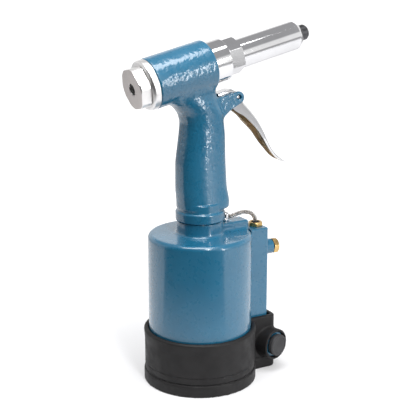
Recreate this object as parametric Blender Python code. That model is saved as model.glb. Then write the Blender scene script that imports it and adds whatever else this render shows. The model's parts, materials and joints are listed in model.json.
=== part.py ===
"""Air-hydraulic rivet gun: pistol handle on an air cylinder, built as separate working pieces.

Frame: origin at the centre of the boot's underside, +Z up the air cylinder, +X towards the nose.
Lengths below are in millimetres and are scaled to metres when a mesh is made.
"""

import math

import bmesh
import bpy
from mathutils import Matrix, Vector

MM = 0.001
GAP = 0.3          # clearance between neighbouring pieces
RUN = 0.08         # radial running clearance of guided rods

# ---- air cylinder and its boot --------------------------------------------------------------
CYL_R = 41.0
CYL_BORE_R = 37.6
CYL_TOP = 120.5
CYL_BOTTOM = 3.3
CYL_ROOF = 4.5
BOOT_R = 45.0
BOOT_FLOOR = 3.0
BOOT_TOP = 43.4
BOOT_SIDE_TOP = 45.2
BOOT_SIDE_X = 64.2
BOOT_SIDE_HALF_Y = 14.2
POCKET_X = 60.6
FOOT_TOP = 9.5
BASE_PLATE_Z = (6.0, 11.0)
NECK_R = 18.2
JOINT_Z = 131.5    # parting plane between the cylinder neck and the handle
NECK_BORE_R = 11.5
ARM_END_X = 41.0
ARM_TOP = 126.8
ARM_HALF_Y = 7.0

# ---- pistol handle and head -----------------------------------------------------------------
HEAD_Z = 251.0     # height where the head's axis crosses the cylinder's axis
HEAD_TILT = 13.0   # degrees, nose up
HEAD_R = 19.5
HEAD_REAR = -44.0
FLANGE_REAR = -50.0
CAP_REAR = -58.8
CAP_PHASE = 20.0   # degrees
HEAD_FRONT = 6.2
HEAD_BORE_R = 15.6
OIL_BORE_R = 7.0
COLLAR_R = 19.3
PIN_X, PIN_Z = 29.9, 226.6
EAR_R = 5.0
PIN_R = 1.5
PIN_HOLE_R = 1.6
EAR_HALF_Y = 8.4
SLOT_HALF_Y = 5.6
FILL_Z = 190.0      # oil fill plug, on the far side of the grip
ANCHOR_X, ANCHOR_Z = 15.2, 227.9

# ---- nose -----------------------------------------------------------------------------------
SLEEVE_R = 16.2
SLEEVE_END = 20.5
NUT_CORNER_R = 14.4
NUT_PHASE = -3.0   # degrees
NUT_END = 32.6
TUBE_R = 11.3
TUBE_BORE_R = 9.7
TUBE_SHOULDER = 86.6
TUBE_END = 91.6
NOSE_R = 6.2
NOSE_END = 98.4

# ---- moving insides -------------------------------------------------------------------------
RAM_R = 6.0
AIR_PISTON_Z = (17.0, 27.0)
OIL_PISTON_S = (-12.0, -4.0)
DRAW_ROD_R = 7.6
JAW_CASE_S = (50.0, 84.0)

# ---- throttle -------------------------------------------------------------------------------
BLOCK_X = (37.0, 57.8)
BLOCK_SEAT_Z = 114.0   # the block lies against the cylinder up to here and clears the arm above
ARM_CLEAR_R = 42.4
BLOCK_HALF_Y = 10.0
BLOCK_Z = (6.0, 118.9)
VALVE_X = 51.2
VALVE_BORE_R = 4.0
STEM_R = 0.9
STEM_TOP = 115.4
SPRING_Z = (101.3, 115.6)   # throttle spring, between the spool's upper land and the gland
BOSS_Z = 99.5
BOSS_R = 6.1
BOSS_END_X = 66.4
INLET_CENTRE = (52.8, 0.0, 22.4)
INLET_TURN = 15.0  # degrees that the inlet looks forward of -Y
INLET_R = 10.4
INLET_ROOT = 6.0
INLET_REACH = 22.6
INLET_BORE_R = 7.4

TO_SIDE = Matrix.Rotation(math.radians(-90), 4, "X").to_euler()    # turns local +Z to +Y
TO_FRONT = Matrix.Rotation(math.radians(90), 4, "Y").to_euler()    # turns local +Z to +X

SEG = 40           # facets of the cylinder's rounds
HEAD_SEG = 32      # facets of the head's rounds
ROD_SEG = 20       # facets of small rounds


# ---- materials ------------------------------------------------------------------------------
def material(name, color, metallic, roughness):
    mat = bpy.data.materials.new(name)
    mat.use_nodes = True
    shader = mat.node_tree.nodes["Principled BSDF"]
    shader.inputs["Base Color"].default_value = (*color, 1.0)
    shader.inputs["Metallic"].default_value = metallic
    shader.inputs["Roughness"].default_value = roughness
    return mat


def make_materials():
    table = {
        "blue_paint": ((0.024, 0.135, 0.270), 0.0, 0.28),
        "chrome": ((0.80, 0.80, 0.80), 1.0, 0.10),
        "satin_alu": ((0.72, 0.71, 0.70), 1.0, 0.35),
        "steel": ((0.50, 0.50, 0.50), 1.0, 0.30),
        "dark_steel": ((0.06, 0.06, 0.065), 1.0, 0.35),
        "spring_steel": ((0.42, 0.42, 0.44), 1.0, 0.30),
        "brass": ((0.72, 0.50, 0.20), 1.0, 0.25),
        "rubber": ((0.030, 0.028, 0.030), 0.0, 0.75),
        "seal": ((0.020, 0.020, 0.020), 0.0, 0.60),
        "black_plastic": ((0.035, 0.035, 0.037), 0.0, 0.50),
        "clear_sleeve": ((0.75, 0.74, 0.72), 0.0, 0.30),
    }
    return {name: material(name, *values) for name, values in table.items()}


# ---- shape tools ----------------------------------------------------------------------------
def add_object(name, bm, mat, parent=None, location=(0, 0, 0), rotation=None):
    """Make an object of a millimetre bmesh, with its mesh in metres and its faces turned out."""
    bmesh.ops.scale(bm, vec=(MM, MM, MM), verts=bm.verts)
    bmesh.ops.recalc_face_normals(bm, faces=bm.faces)
    mesh = bpy.data.meshes.new(name)
    bm.to_mesh(mesh)
    bm.free()
    obj = bpy.data.objects.new(name, mesh)
    obj.data.materials.append(mat)
    obj.location = Vector(location) * MM
    if rotation is not None:
        obj.rotation_euler = rotation
    obj.parent = parent
    bpy.context.scene.collection.objects.link(obj)
    return obj


def ring(bm, radius, height, segments, phase=0.0):
    """One circle of vertices about Z, or a single vertex when the radius is zero."""
    if radius == 0:
        return [bm.verts.new((0, 0, height))]
    step = 2 * math.pi / segments
    turns = [phase + i * step for i in range(segments)]
    return [bm.verts.new((radius * math.cos(t), radius * math.sin(t), height)) for t in turns]


def skin(bm, low, high):
    """Faces between two neighbouring rings, either of which may be a single vertex."""
    count = max(len(low), len(high))
    for i in range(count):
        j = (i + 1) % count
        corners = [low[i % len(low)], low[j % len(low)], high[j % len(high)], high[i % len(high)]]
        unique = list(dict.fromkeys(corners))
        bm.faces.new(unique)


def lathe(profile, segments=SEG, phase=0.0):
    """Turn a (radius, height) outline about Z. An outline off the axis closes into a ring."""
    bm = bmesh.new()
    rings = [ring(bm, r, z, segments, phase) for r, z in profile]
    for low, high in zip(rings, rings[1:]):
        skin(bm, low, high)
    if len(rings[0]) > 1 or len(rings[-1]) > 1:
        skin(bm, rings[-1], rings[0])
    return bm


def tube_outline(r_in, r_out, z_low, z_high, chamfer=0.4):
    """Outline of a plain bush with small outer chamfers."""
    return [
        (r_in, z_low),
        (r_out - chamfer, z_low),
        (r_out, z_low + chamfer),
        (r_out, z_high - chamfer),
        (r_out - chamfer, z_high),
        (r_in, z_high),
    ]


def rod_outline(radius, z_low, z_high, chamfer=0.4):
    """Outline of a solid pin with small chamfers."""
    return [
        (0, z_low),
        (radius - chamfer, z_low),
        (radius, z_low + chamfer),
        (radius, z_high - chamfer),
        (radius - chamfer, z_high),
        (0, z_high),
    ]


def torus(major, minor, height, segments=SEG, sides=6):
    turns = [2 * math.pi * i / sides for i in range(sides)]
    outline = [(major + minor * math.cos(t), height + minor * math.sin(t)) for t in turns]
    return lathe(outline, segments)


def prism(outline, low, high, axis="y"):
    """Extrude a flat outline. axis 'y' takes (x, z) points, axis 'z' takes (x, y) points."""
    bm = bmesh.new()
    if axis == "y":
        loops = [[bm.verts.new((x, h, z)) for x, z in outline] for h in (low, high)]
    else:
        loops = [[bm.verts.new((x, y, h)) for x, y in outline] for h in (low, high)]
    skin(bm, loops[0], loops[1])
    bm.faces.new(loops[0])
    bm.faces.new(list(reversed(loops[1])))
    return bm


def arc(cx, cy, radius, start, end, steps):
    """Points along an arc, angles in degrees."""
    angles = [math.radians(start + (end - start) * i / steps) for i in range(steps + 1)]
    return [(cx + radius * math.cos(t), cy + radius * math.sin(t)) for t in angles]


def rounded_box(x_low, x_high, half_y, z_low, z_high, corner, steps=5):
    """Upright box with four rounded vertical edges."""
    outline = []
    centres = (
        (x_high - corner, half_y - corner, 0),
        (x_low + corner, half_y - corner, 90),
        (x_low + corner, corner - half_y, 180),
        (x_high - corner, corner - half_y, 270),
    )
    for cx, cy, start in centres:
        outline += arc(cx, cy, corner, start, start + 90, steps)
    return prism(outline, z_low, z_high, axis="z")


def smooth_path(points, steps):
    """Catmull-Rom curve through hand-placed points."""
    pts = [Vector(p) for p in points]
    pts = [2 * pts[0] - pts[1]] + pts + [2 * pts[-1] - pts[-2]]
    path = []
    for a, b, c, d in zip(pts, pts[1:], pts[2:], pts[3:]):
        for i in range(steps):
            t = i / steps
            line = 2 * b + (c - a) * t
            bend = (2 * a - 5 * b + 4 * c - d) * t * t
            twist = (3 * b - a - 3 * c + d) * t * t * t
            path.append((line + bend + twist) / 2)
    path.append(pts[-2])
    return path


def sweep(path, r_out, r_in=0.0, sides=10):
    """Round bar along a path in the XZ plane, or a tube when r_in is given."""
    bm = bmesh.new()
    across = Vector((0, 1, 0))
    outer, inner = [], []
    for i, point in enumerate(path):
        ahead = path[min(i + 1, len(path) - 1)] - path[max(i - 1, 0)]
        side = ahead.normalized().cross(across)
        turns = [2 * math.pi * k / sides for k in range(sides)]
        spokes = [side * math.cos(t) + across * math.sin(t) for t in turns]
        outer.append([bm.verts.new(point + s * r_out) for s in spokes])
        if r_in > 0:
            inner.append([bm.verts.new(point + s * r_in) for s in spokes])
    for low, high in zip(outer, outer[1:]):
        skin(bm, low, high)
    for low, high in zip(inner, inner[1:]):
        skin(bm, low, high)
    for end in (0, -1):
        if r_in > 0:
            skin(bm, outer[end], inner[end])
        else:
            bm.faces.new(outer[end])
    return bm


def coil(radius, wire, z_low, z_high, turns, sides=6, per_turn=12):
    """Helical spring about Z with closed ends."""
    bm = bmesh.new()
    count = int(turns * per_turn)
    rings = []
    for i in range(count + 1):
        angle = 2 * math.pi * i / per_turn
        height = z_low + wire + (z_high - z_low - 2 * wire) * i / count
        out = Vector((math.cos(angle), math.sin(angle), 0))
        centre = out * radius + Vector((0, 0, height))
        spokes = [2 * math.pi * k / sides for k in range(sides)]
        points = [centre + out * wire * math.cos(t) + Vector((0, 0, wire * math.sin(t))) for t in spokes]
        rings.append([bm.verts.new(p) for p in points])
    for low, high in zip(rings, rings[1:]):
        skin(bm, low, high)
    bm.faces.new(rings[0])
    bm.faces.new(rings[-1])
    return bm


def combine(target, name, bm, operation, parent=None, location=(0, 0, 0), rotation=None):
    """Join to, cut from or intersect with the target, by a hidden helper object."""
    helper = add_object(name, bm, target.data.materials[0], parent, location, rotation)
    helper.hide_render = True
    helper.display_type = "WIRE"
    modifier = target.modifiers.new(name, "BOOLEAN")
    modifier.operation = operation
    modifier.object = helper
    modifier.solver = "EXACT"
    return helper


def split_faces(target):
    """Triangulate what the booleans so far have made, so that rims with a hole in them cut cleanly."""
    target.modifiers.new("split_faces", "TRIANGULATE")


# ---- air side -------------------------------------------------------------------------------
def build_rubber_boot(mats):
    outline = [
        (0, 0),
        (43.4, 0),
        (44.7, 1.3),
        (44.7, FOOT_TOP - 0.8),
        (44.2, FOOT_TOP),
        (BOOT_R, FOOT_TOP + 0.8),
        (BOOT_R, BOOT_TOP - 1.4),
        (BOOT_R - 1.2, BOOT_TOP),
        (0, BOOT_TOP),
    ]
    boot = add_object("rubber_boot", lathe(outline), mats["rubber"])
    side = rounded_box(28, BOOT_SIDE_X, BOOT_SIDE_HALF_Y, 0, BOOT_SIDE_TOP, 5.5)
    combine(boot, "boot_side_form", side, "UNION")
    collar = lathe(rod_outline(12.6, -4, 23.4, 0.9), HEAD_SEG)
    combine(boot, "boot_inlet_form", collar, "UNION", None, INLET_CENTRE, inlet_rotation())
    cavity = lathe(rod_outline(CYL_R + GAP, BOOT_FLOOR, 60, 0.2))
    combine(boot, "boot_cavity_cut", cavity, "DIFFERENCE")
    pocket = rounded_box(30, POCKET_X, BLOCK_HALF_Y + GAP, BLOCK_Z[0] - GAP, 60, 2.0, 3)
    combine(boot, "boot_block_cut", pocket, "DIFFERENCE")
    bore = lathe(rod_outline(INLET_R + GAP, INLET_ROOT - GAP, 40, 0.2), HEAD_SEG)
    combine(boot, "boot_inlet_cut", bore, "DIFFERENCE", None, INLET_CENTRE, inlet_rotation())


def build_air_cylinder(mats):
    outline = [
        (0, CYL_BOTTOM),
        (CYL_R - 0.6, CYL_BOTTOM),
        (CYL_R, CYL_BOTTOM + 0.6),
    ]
    outline += arc(CYL_R - 4.0, CYL_TOP - 4.0, 4.0, 0, 90, 3)
    outline += arc(NECK_R + 2.0, CYL_TOP + 2.0, 2.0, 270, 180, 2)
    outline += [(NECK_R, JOINT_Z - GAP), (0, JOINT_Z - GAP)]
    body = add_object("air_cylinder", lathe(outline), mats["blue_paint"])
    arm = rounded_box(8, ARM_END_X, ARM_HALF_Y, CYL_TOP - 1.5, ARM_TOP, 2.0, 3)
    combine(body, "arm_form", arm, "UNION")
    chamber = lathe(rod_outline(CYL_BORE_R, -5, CYL_TOP - CYL_ROOF, 1.5))
    combine(body, "chamber_cut", chamber, "DIFFERENCE")
    neck_bore = lathe(rod_outline(NECK_BORE_R, 90, 150, 0.2), ROD_SEG)
    combine(body, "neck_bore_cut", neck_bore, "DIFFERENCE")


def build_cylinder_base(mats):
    low, high = BASE_PLATE_Z
    edge = CYL_BORE_R - 0.2
    outline = [
        (0, low),
        (edge - 0.5, low),
        (edge, low + 0.5),
        (edge, low + 1.4),
        (edge - 1.8, low + 1.4),
        (edge - 1.8, high - 1.2),
        (edge, high - 1.2),
        (edge, high - 0.3),
        (edge - 0.3, high),
        (0, high),
    ]
    add_object("cylinder_base_plate", lathe(outline), mats["satin_alu"])
    seal_z = (low + 1.4 + high - 1.2) / 2
    add_object("base_plate_o_ring", torus(edge - 0.85, 0.8, seal_z), mats["seal"])
    snap_ring = lathe(tube_outline(33.5, edge, 4.2, 5.7, 0.2))
    snap = add_object("base_snap_ring", snap_ring, mats["spring_steel"])
    ring_gap = rounded_box(30, 40, 3.5, 0, 10, 0.5, 1)
    combine(snap, "snap_ring_gap_cut", ring_gap, "DIFFERENCE")


def build_air_piston(mats, carriage):
    low, high = AIR_PISTON_Z
    edge = CYL_BORE_R - RUN
    groove = edge - 2.6
    middle = (low + high) / 2
    outline = [
        (4.1, low),
        (edge - 0.8, low),
        (edge, low + 0.8),
        (edge, middle - 1.5),
        (groove, middle - 1.5),
        (groove, middle + 1.5),
        (edge, middle + 1.5),
        (edge, high - 0.8),
        (edge - 0.8, high),
        (4.1, high),
    ]
    add_object("air_piston", lathe(outline), mats["satin_alu"], carriage)
    add_object("air_piston_o_ring", torus(edge - 1.3, 1.2, middle), mats["seal"], carriage)
    rod = [
        (0, low - 5.5),
        (3.6, low - 5.5),
        (4.0, low - 5.1),
        (4.0, high + GAP),
        (RAM_R - 0.4, high + GAP),
        (RAM_R, high + GAP + 0.4),
        (RAM_R, 137.4),
        (RAM_R - 0.9, 138.6),
        (0, 138.6),
    ]
    add_object("ram_rod", lathe(rod, ROD_SEG), mats["steel"], carriage)
    blank = lathe(tube_outline(4.1, 7.4, low - 4.8, low - GAP, 0.5), ROD_SEG)
    nut = add_object("ram_nut", blank, mats["steel"], carriage)
    hexagon = lathe([(0, 0), (7.5, 0), (7.5, 30), (0, 30)], 6)
    combine(nut, "ram_nut_hex_form", hexagon, "INTERSECT", carriage)


def build_neck_parts(mats):
    gland = lathe(tube_outline(RAM_R + RUN, NECK_BORE_R - 0.1, 116.4, 127.6), ROD_SEG)
    add_object("ram_gland", gland, mats["brass"])
    add_object("ram_seal", torus(8.4, 1.5, 129.5, ROD_SEG), mats["seal"])


# ---- handle and head ------------------------------------------------------------------------
def handle_section(bm, height, centre_x, half_x, half_y, power=2.5, count=28):
    """One upright slice of the grip, a superellipse."""
    loop = []
    for i in range(count):
        angle = 2 * math.pi * i / count
        c, s = math.cos(angle), math.sin(angle)
        x = centre_x + half_x * math.copysign(abs(c) ** (2 / power), c)
        y = half_y * math.copysign(abs(s) ** (2 / power), s)
        loop.append(bm.verts.new((x, y, height)))
    return loop


def handle_mesh():
    """The grip from the collar up into the head, as (height, centre x, half x, half y, power) slices."""
    slices = (
        (JOINT_Z, 0.0, 18.3, 18.3, 2.0),
        (JOINT_Z + 1.0, 0.0, COLLAR_R, COLLAR_R, 2.0),
        (138.4, 0.0, COLLAR_R, COLLAR_R, 2.0),
        (140.2, 0.4, 18.3, 17.6, 2.1),
        (142.4, 2.4, 20.6, 16.6, 2.5),
        (145.5, 2.6, 20.9, 16.3, 2.5),
        (157.0, 1.0, 20.5, 15.8, 2.5),
        (178.0, 0.6, 19.9, 15.4, 2.5),
        (199.0, 1.5, 17.7, 15.0, 2.5),
        (209.0, 1.4, 16.7, 14.9, 2.4),
        (216.0, 0.2, 17.6, 15.1, 2.3),
        (221.5, -3.2, 18.7, 15.6, 2.2),
        (226.0, -5.9, 20.1, 15.4, 2.2),
        (231.0, -7.5, 19.0, 14.0, 2.2),
        (236.0, -8.0, 14.5, 11.0, 2.2),
    )
    bm = bmesh.new()
    loops = [handle_section(bm, z, x, a, b, power) for z, x, a, b, power in slices]
    for low, high in zip(loops, loops[1:]):
        skin(bm, low, high)
    bm.faces.new(loops[0])
    bm.faces.new(loops[-1])
    return bm


def ear_mesh():
    """The trigger lug: a plate from the grip's front out to the round end about the pin."""
    slope = math.radians(HEAD_TILT)
    top_root = (4.0, PIN_Z + EAR_R - (PIN_X - 4.0) * math.tan(slope))
    outline = [top_root, (4.0, 208.0), (16.5, 211.5), (22.0, 216.2)]
    outline += arc(PIN_X, PIN_Z - 0.6, EAR_R, -76, 103, 10)
    return prism(outline, -EAR_HALF_Y, EAR_HALF_Y)


def cable_route():
    """Centre line of the throttle cable, from the trigger's anchor to the valve's gland."""
    points = (
        (ANCHOR_X, 0, ANCHOR_Z - 1.3),
        (13.4, 0, 215.0),
        (13.0, 0, 195.0),
        (13.4, 0, 172.0),
        (15.2, 0, 154.0),
        (19.4, 0, 141.5),
        (22.2, 0, 133.8),
        (24.4, 0, 130.6),
        (28.3, 0, 130.0),
        (33.6, 0, 131.1),
        (39.0, 0, 131.7),
        (44.4, 0, 131.0),
        (48.2, 0, 128.8),
        (50.5, 0, 125.6),
        (51.2, 0, 122.4),
        (51.2, 0, 120.0),
    )
    return smooth_path(points, 3)


def head_mesh():
    """Barrel of the housing, about its own axis."""
    low, high = HEAD_REAR, HEAD_FRONT
    outline = [(0, low), (HEAD_R - 0.8, low), (HEAD_R, low + 0.8), (HEAD_R, high - 2.4)]
    outline += arc(HEAD_R - 2.4, high - 2.4, 2.4, 20, 90, 3)
    outline += [(0, high)]
    return lathe(outline, HEAD_SEG)


def build_handle_frame(mats, head):
    frame = add_object("handle_frame", handle_mesh(), mats["blue_paint"])
    combine(frame, "head_form", head_mesh(), "UNION", head)
    combine(frame, "ear_form", ear_mesh(), "UNION")
    bore = lathe(rod_outline(HEAD_BORE_R, HEAD_REAR - 9, HEAD_FRONT + 9, 0.2), HEAD_SEG)
    oil_outline = [(0, 100), (12.6, 100), (12.6, 137), (OIL_BORE_R, 139), (OIL_BORE_R, 243), (0, 243)]
    oil = lathe(oil_outline, ROD_SEG, math.radians(5))
    combine(frame, "oil_bore_cut", oil, "DIFFERENCE")
    combine(frame, "head_bore_cut", bore, "DIFFERENCE", head)
    split_faces(frame)
    slot = prism([(12.0, 208.0), (50.0, 208.0), (50.0, 244.0), (12.0, 244.0)], -SLOT_HALF_Y, SLOT_HALF_Y)
    combine(frame, "trigger_slot_cut", slot, "DIFFERENCE")
    cable = [p for p in cable_route() if p.z > 130.0 and p.x < 24.0]
    combine(frame, "cable_bore_cut", sweep(cable, 1.3, sides=6), "DIFFERENCE")
    pin_hole = lathe(rod_outline(PIN_HOLE_R, -20, 20, 0.1), 16)
    combine(frame, "pin_hole_cut", pin_hole, "DIFFERENCE", None, (PIN_X, 0, PIN_Z), TO_SIDE)
    fill = lathe([(0, 0), (3.1, 0), (3.1, 13.0), (4.7, 13.0), (4.7, 25), (0, 25)], ROD_SEG)
    combine(frame, "oil_fill_cut", fill, "DIFFERENCE", None, (0, 0, FILL_Z), TO_SIDE)


def build_oil_fill(mats):
    washer = lathe(tube_outline(3.1, 4.4, 13.2, 14.0, 0.1), ROD_SEG)
    add_object("oil_fill_washer", washer, mats["brass"], None, (0, 0, FILL_Z), TO_SIDE)
    outline = [
        (0, 7.6),
        (2.6, 7.6),
        (2.9, 7.9),
        (2.9, 14.2),
        (4.4, 14.2),
        (4.4, 16.0),
        (4.0, 16.4),
        (2.1, 16.4),
        (2.1, 14.8),
        (0, 14.8),
    ]
    add_object("oil_fill_screw", lathe(outline, ROD_SEG), mats["steel"], None, (0, 0, FILL_Z), TO_SIDE)


def build_rear_caps(mats, head):
    flange = [
        (5.2, -38.0),
        (5.2, FLANGE_REAR),
        (17.4, FLANGE_REAR),
        (18.8, FLANGE_REAR + 0.6),
        (19.2, FLANGE_REAR + 1.4),
        (19.2, HEAD_REAR - GAP),
        (HEAD_BORE_R - 0.3, HEAD_REAR - GAP),
        (HEAD_BORE_R - 0.3, -38.4),
        (HEAD_BORE_R - 0.7, -38.0),
    ]
    add_object("end_cap_flange", lathe(flange, HEAD_SEG), mats["satin_alu"], head)
    low, high = CAP_REAR, FLANGE_REAR - GAP
    blank = [(4.5, low), (15.6, low), (16.2, low + 0.6), (16.2, high), (4.5, high)]
    cap = add_object("safety_cap", lathe(blank, HEAD_SEG), mats["satin_alu"], head)
    hexagon = [(0, low - 2), (16.6, low - 2), (16.6, high + 2), (0, high + 2)]
    combine(cap, "safety_cap_hex_form", lathe(hexagon, 6, math.radians(CAP_PHASE)), "INTERSECT", head)


def build_nose(mats, head):
    sleeve = [
        (DRAW_ROD_R + RUN, 1.2),
        (HEAD_BORE_R - 0.2, 1.2),
        (HEAD_BORE_R - 0.2, HEAD_FRONT + GAP),
        (SLEEVE_R, HEAD_FRONT + GAP),
        (SLEEVE_R, SLEEVE_END - 0.7),
        (SLEEVE_R - 0.7, SLEEVE_END),
        (DRAW_ROD_R + RUN, SLEEVE_END),
    ]
    add_object("head_sleeve", lathe(sleeve, HEAD_SEG), mats["chrome"], head)
    low, high = SLEEVE_END + GAP, NUT_END
    blank = [
        (TUBE_R + 0.1, low),
        (13.9, low),
        (14.3, low + 0.4),
        (14.3, high - 0.8),
        (13.5, high),
        (TUBE_R + 0.1, high),
    ]
    nut = add_object("lock_nut", lathe(blank, HEAD_SEG), mats["chrome"], head)
    hexagon = [(0, low - 2), (NUT_CORNER_R, low - 2), (NUT_CORNER_R, high + 2), (0, high + 2)]
    combine(nut, "lock_nut_hex_form", lathe(hexagon, 6, math.radians(NUT_PHASE)), "INTERSECT", head)
    tube = [
        (TUBE_BORE_R, SLEEVE_END + GAP),
        (TUBE_R, SLEEVE_END + GAP),
        (TUBE_R, TUBE_SHOULDER),
        (7.0, TUBE_END),
        (4.6, TUBE_END),
        (4.6, TUBE_SHOULDER),
        (TUBE_BORE_R, TUBE_SHOULDER - 1.5),
    ]
    add_object("front_tube", lathe(tube, HEAD_SEG), mats["chrome"], head)
    nose = [
        (2.1, TUBE_SHOULDER - 1.0),
        (4.3, TUBE_SHOULDER - 1.0),
        (4.3, TUBE_END + GAP),
        (NOSE_R, TUBE_END + GAP),
        (NOSE_R, NOSE_END - 1.8),
        (NOSE_R - 1.4, NOSE_END),
        (2.1, NOSE_END),
    ]
    add_object("nose_piece", lathe(nose, ROD_SEG), mats["dark_steel"], head)


def build_draw_parts(mats, head, carriage):
    """The hydraulic piston and all that it pulls back. Heights run along the head's axis."""
    low, high = OIL_PISTON_S
    edge = HEAD_BORE_R - RUN
    piston = [
        (2.6, low),
        (edge - 0.5, low),
        (edge, low + 0.5),
        (edge, low + 2.7),
        (edge - 1.9, low + 2.7),
        (edge - 1.9, high - 2.7),
        (edge, high - 2.7),
        (edge, high - 0.5),
        (edge - 0.5, high),
        (DRAW_ROD_R, high),
        (DRAW_ROD_R, 46.0),
        (6.0, 46.4),
        (6.0, 56.0),
        (2.6, 56.0),
    ]
    add_object("oil_piston", lathe(piston, HEAD_SEG), mats["steel"], carriage)
    seal_s = (low + high) / 2
    add_object("oil_piston_seal", torus(edge - 0.95, 0.85, seal_s, HEAD_SEG), mats["seal"], carriage)
    tube = lathe(tube_outline(2.0, 2.5, -48.0, -2.0, 0.1), 12)
    add_object("mandrel_tube", tube, mats["steel"], head)
    spring = coil(11.4, 1.1, -37.6, low - GAP, 4)
    add_object("return_spring", spring, mats["spring_steel"], head)
    low, high = JAW_CASE_S
    case = [
        (6.1, low),
        (8.8, low),
        (9.3, low + 0.5),
        (9.3, high - 1.0),
        (8.3, high),
        (3.6, high),
        (7.4, high - 10.0),
        (7.4, low + 7.0),
        (6.1, low + 7.0),
    ]
    add_object("jaw_case", lathe(case, HEAD_SEG), mats["steel"], carriage)
    pusher = [(2.3, 66.0), (7.1, 66.0), (7.1, 68.0), (5.6, 70.0), (3.0, 73.0), (2.3, 73.0)]
    add_object("jaw_pusher", lathe(pusher, ROD_SEG), mats["steel"], carriage)
    pusher_spring = coil(6.1, 0.6, 57.4, 65.7, 4, 4, 10)
    add_object("jaw_spring", pusher_spring, mats["spring_steel"], carriage)
    build_jaws(mats, carriage)


def build_jaws(mats, carriage):
    """Three wedge jaws that fill the cone of the jaw case."""
    for number in range(3):
        outline = [(1.2, 73.6), (6.8, 73.6), (6.8, 74.2), (3.7, 82.6), (1.2, 82.6)]
        bm = bmesh.new()
        start = math.radians(120 * number + 4)
        sweep_angle = math.radians(112)
        loops = []
        for step in range(7):
            angle = start + sweep_angle * step / 6
            loops.append([bm.verts.new((r * math.cos(angle), r * math.sin(angle), s)) for r, s in outline])
        for low, high in zip(loops, loops[1:]):
            skin(bm, low, high)
        bm.faces.new(loops[0])
        bm.faces.new(loops[-1])
        add_object(f"jaw_{number + 1}", bm, mats["dark_steel"], carriage)


# ---- trigger and throttle -------------------------------------------------------------------
def trigger_front():
    """Front line of the pressed trigger, from its cable arm over the pin and down to the tip."""
    points = (
        (13.6, 0, 229.9),
        (19.6, 0, 231.6),
        (24.6, 0, 232.3),
        (30.0, 0, 230.4),
        (33.6, 0, 227.0),
        (36.0, 0, 221.8),
        (41.6, 0, 215.7),
        (48.9, 0, 207.0),
        (54.9, 0, 197.4),
        (59.0, 0, 189.2),
        (64.0, 0, 181.4),
        (70.2, 0, 175.2),
        (77.4, 0, 169.8),
    )
    return [(p.x, p.z) for p in smooth_path(points, 2)]


def trigger_back():
    """Back edge of the trigger's side flanges, from the tip up to the cable arm."""
    points = (
        (67.6, 0, 173.8),
        (60.6, 0, 181.8),
        (55.8, 0, 189.4),
        (50.6, 0, 196.9),
        (45.0, 0, 203.2),
        (37.2, 0, 210.2),
        (28.4, 0, 215.6),
        (25.2, 0, 220.8),
        (22.0, 0, 226.0),
        (13.6, 0, 226.9),
    )
    return [(p.x, p.z) for p in smooth_path(points, 2)]


def narrow_tip(bm):
    """Draw the pressed sheet in towards its tip."""
    for vert in bm.verts:
        drop = min(max((190.0 - vert.co.z) / 20.0, 0.0), 1.0)
        vert.co.y *= 1.0 - 0.45 * drop


def build_trigger(mats, pivot):
    half = SLOT_HALF_Y - 0.35
    sheet = 1.1
    shift = Matrix.Translation((-PIN_X, 0, -PIN_Z))
    body = prism(trigger_front() + trigger_back(), -half, half)
    narrow_tip(body)
    body.transform(shift)
    trigger = add_object("trigger", body, mats["chrome"], pivot)
    front = trigger_front()
    inside = []
    for a, b in zip(front[:-3], front[1:-2]):
        along = Vector((b[0] - a[0], b[1] - a[1])).normalized()
        inside.append((a[0] + along.y * sheet, a[1] - along.x * sheet))
    inside[0] = (inside[0][0] - 5.0, inside[0][1] - 1.2)
    inside += [(62.0, 174.0), (30.0, 205.0), (8.6, 214.0)]
    hollow = prism(inside, sheet - half, half - sheet)
    narrow_tip(hollow)
    hollow.transform(shift)
    combine(trigger, "trigger_channel_cut", hollow, "DIFFERENCE", pivot)
    hole = lathe(rod_outline(PIN_HOLE_R, -20, 20, 0.1), 16)
    combine(trigger, "trigger_pin_cut", hole, "DIFFERENCE", pivot, (0, 0, 0), TO_SIDE)
    pin = lathe(rod_outline(PIN_R, -EAR_HALF_Y + 0.6, EAR_HALF_Y - 0.6, 0.25), 16)
    add_object("trigger_pin", pin, mats["steel"], None, (PIN_X, 0, PIN_Z), TO_SIDE)
    anchor = lathe(rod_outline(0.9, sheet - half + 0.1, half - sheet - 0.1, 0.1), 14)
    place = (ANCHOR_X - PIN_X, 0, ANCHOR_Z - PIN_Z)
    add_object("cable_anchor", anchor, mats["brass"], pivot, place, TO_SIDE)


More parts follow.
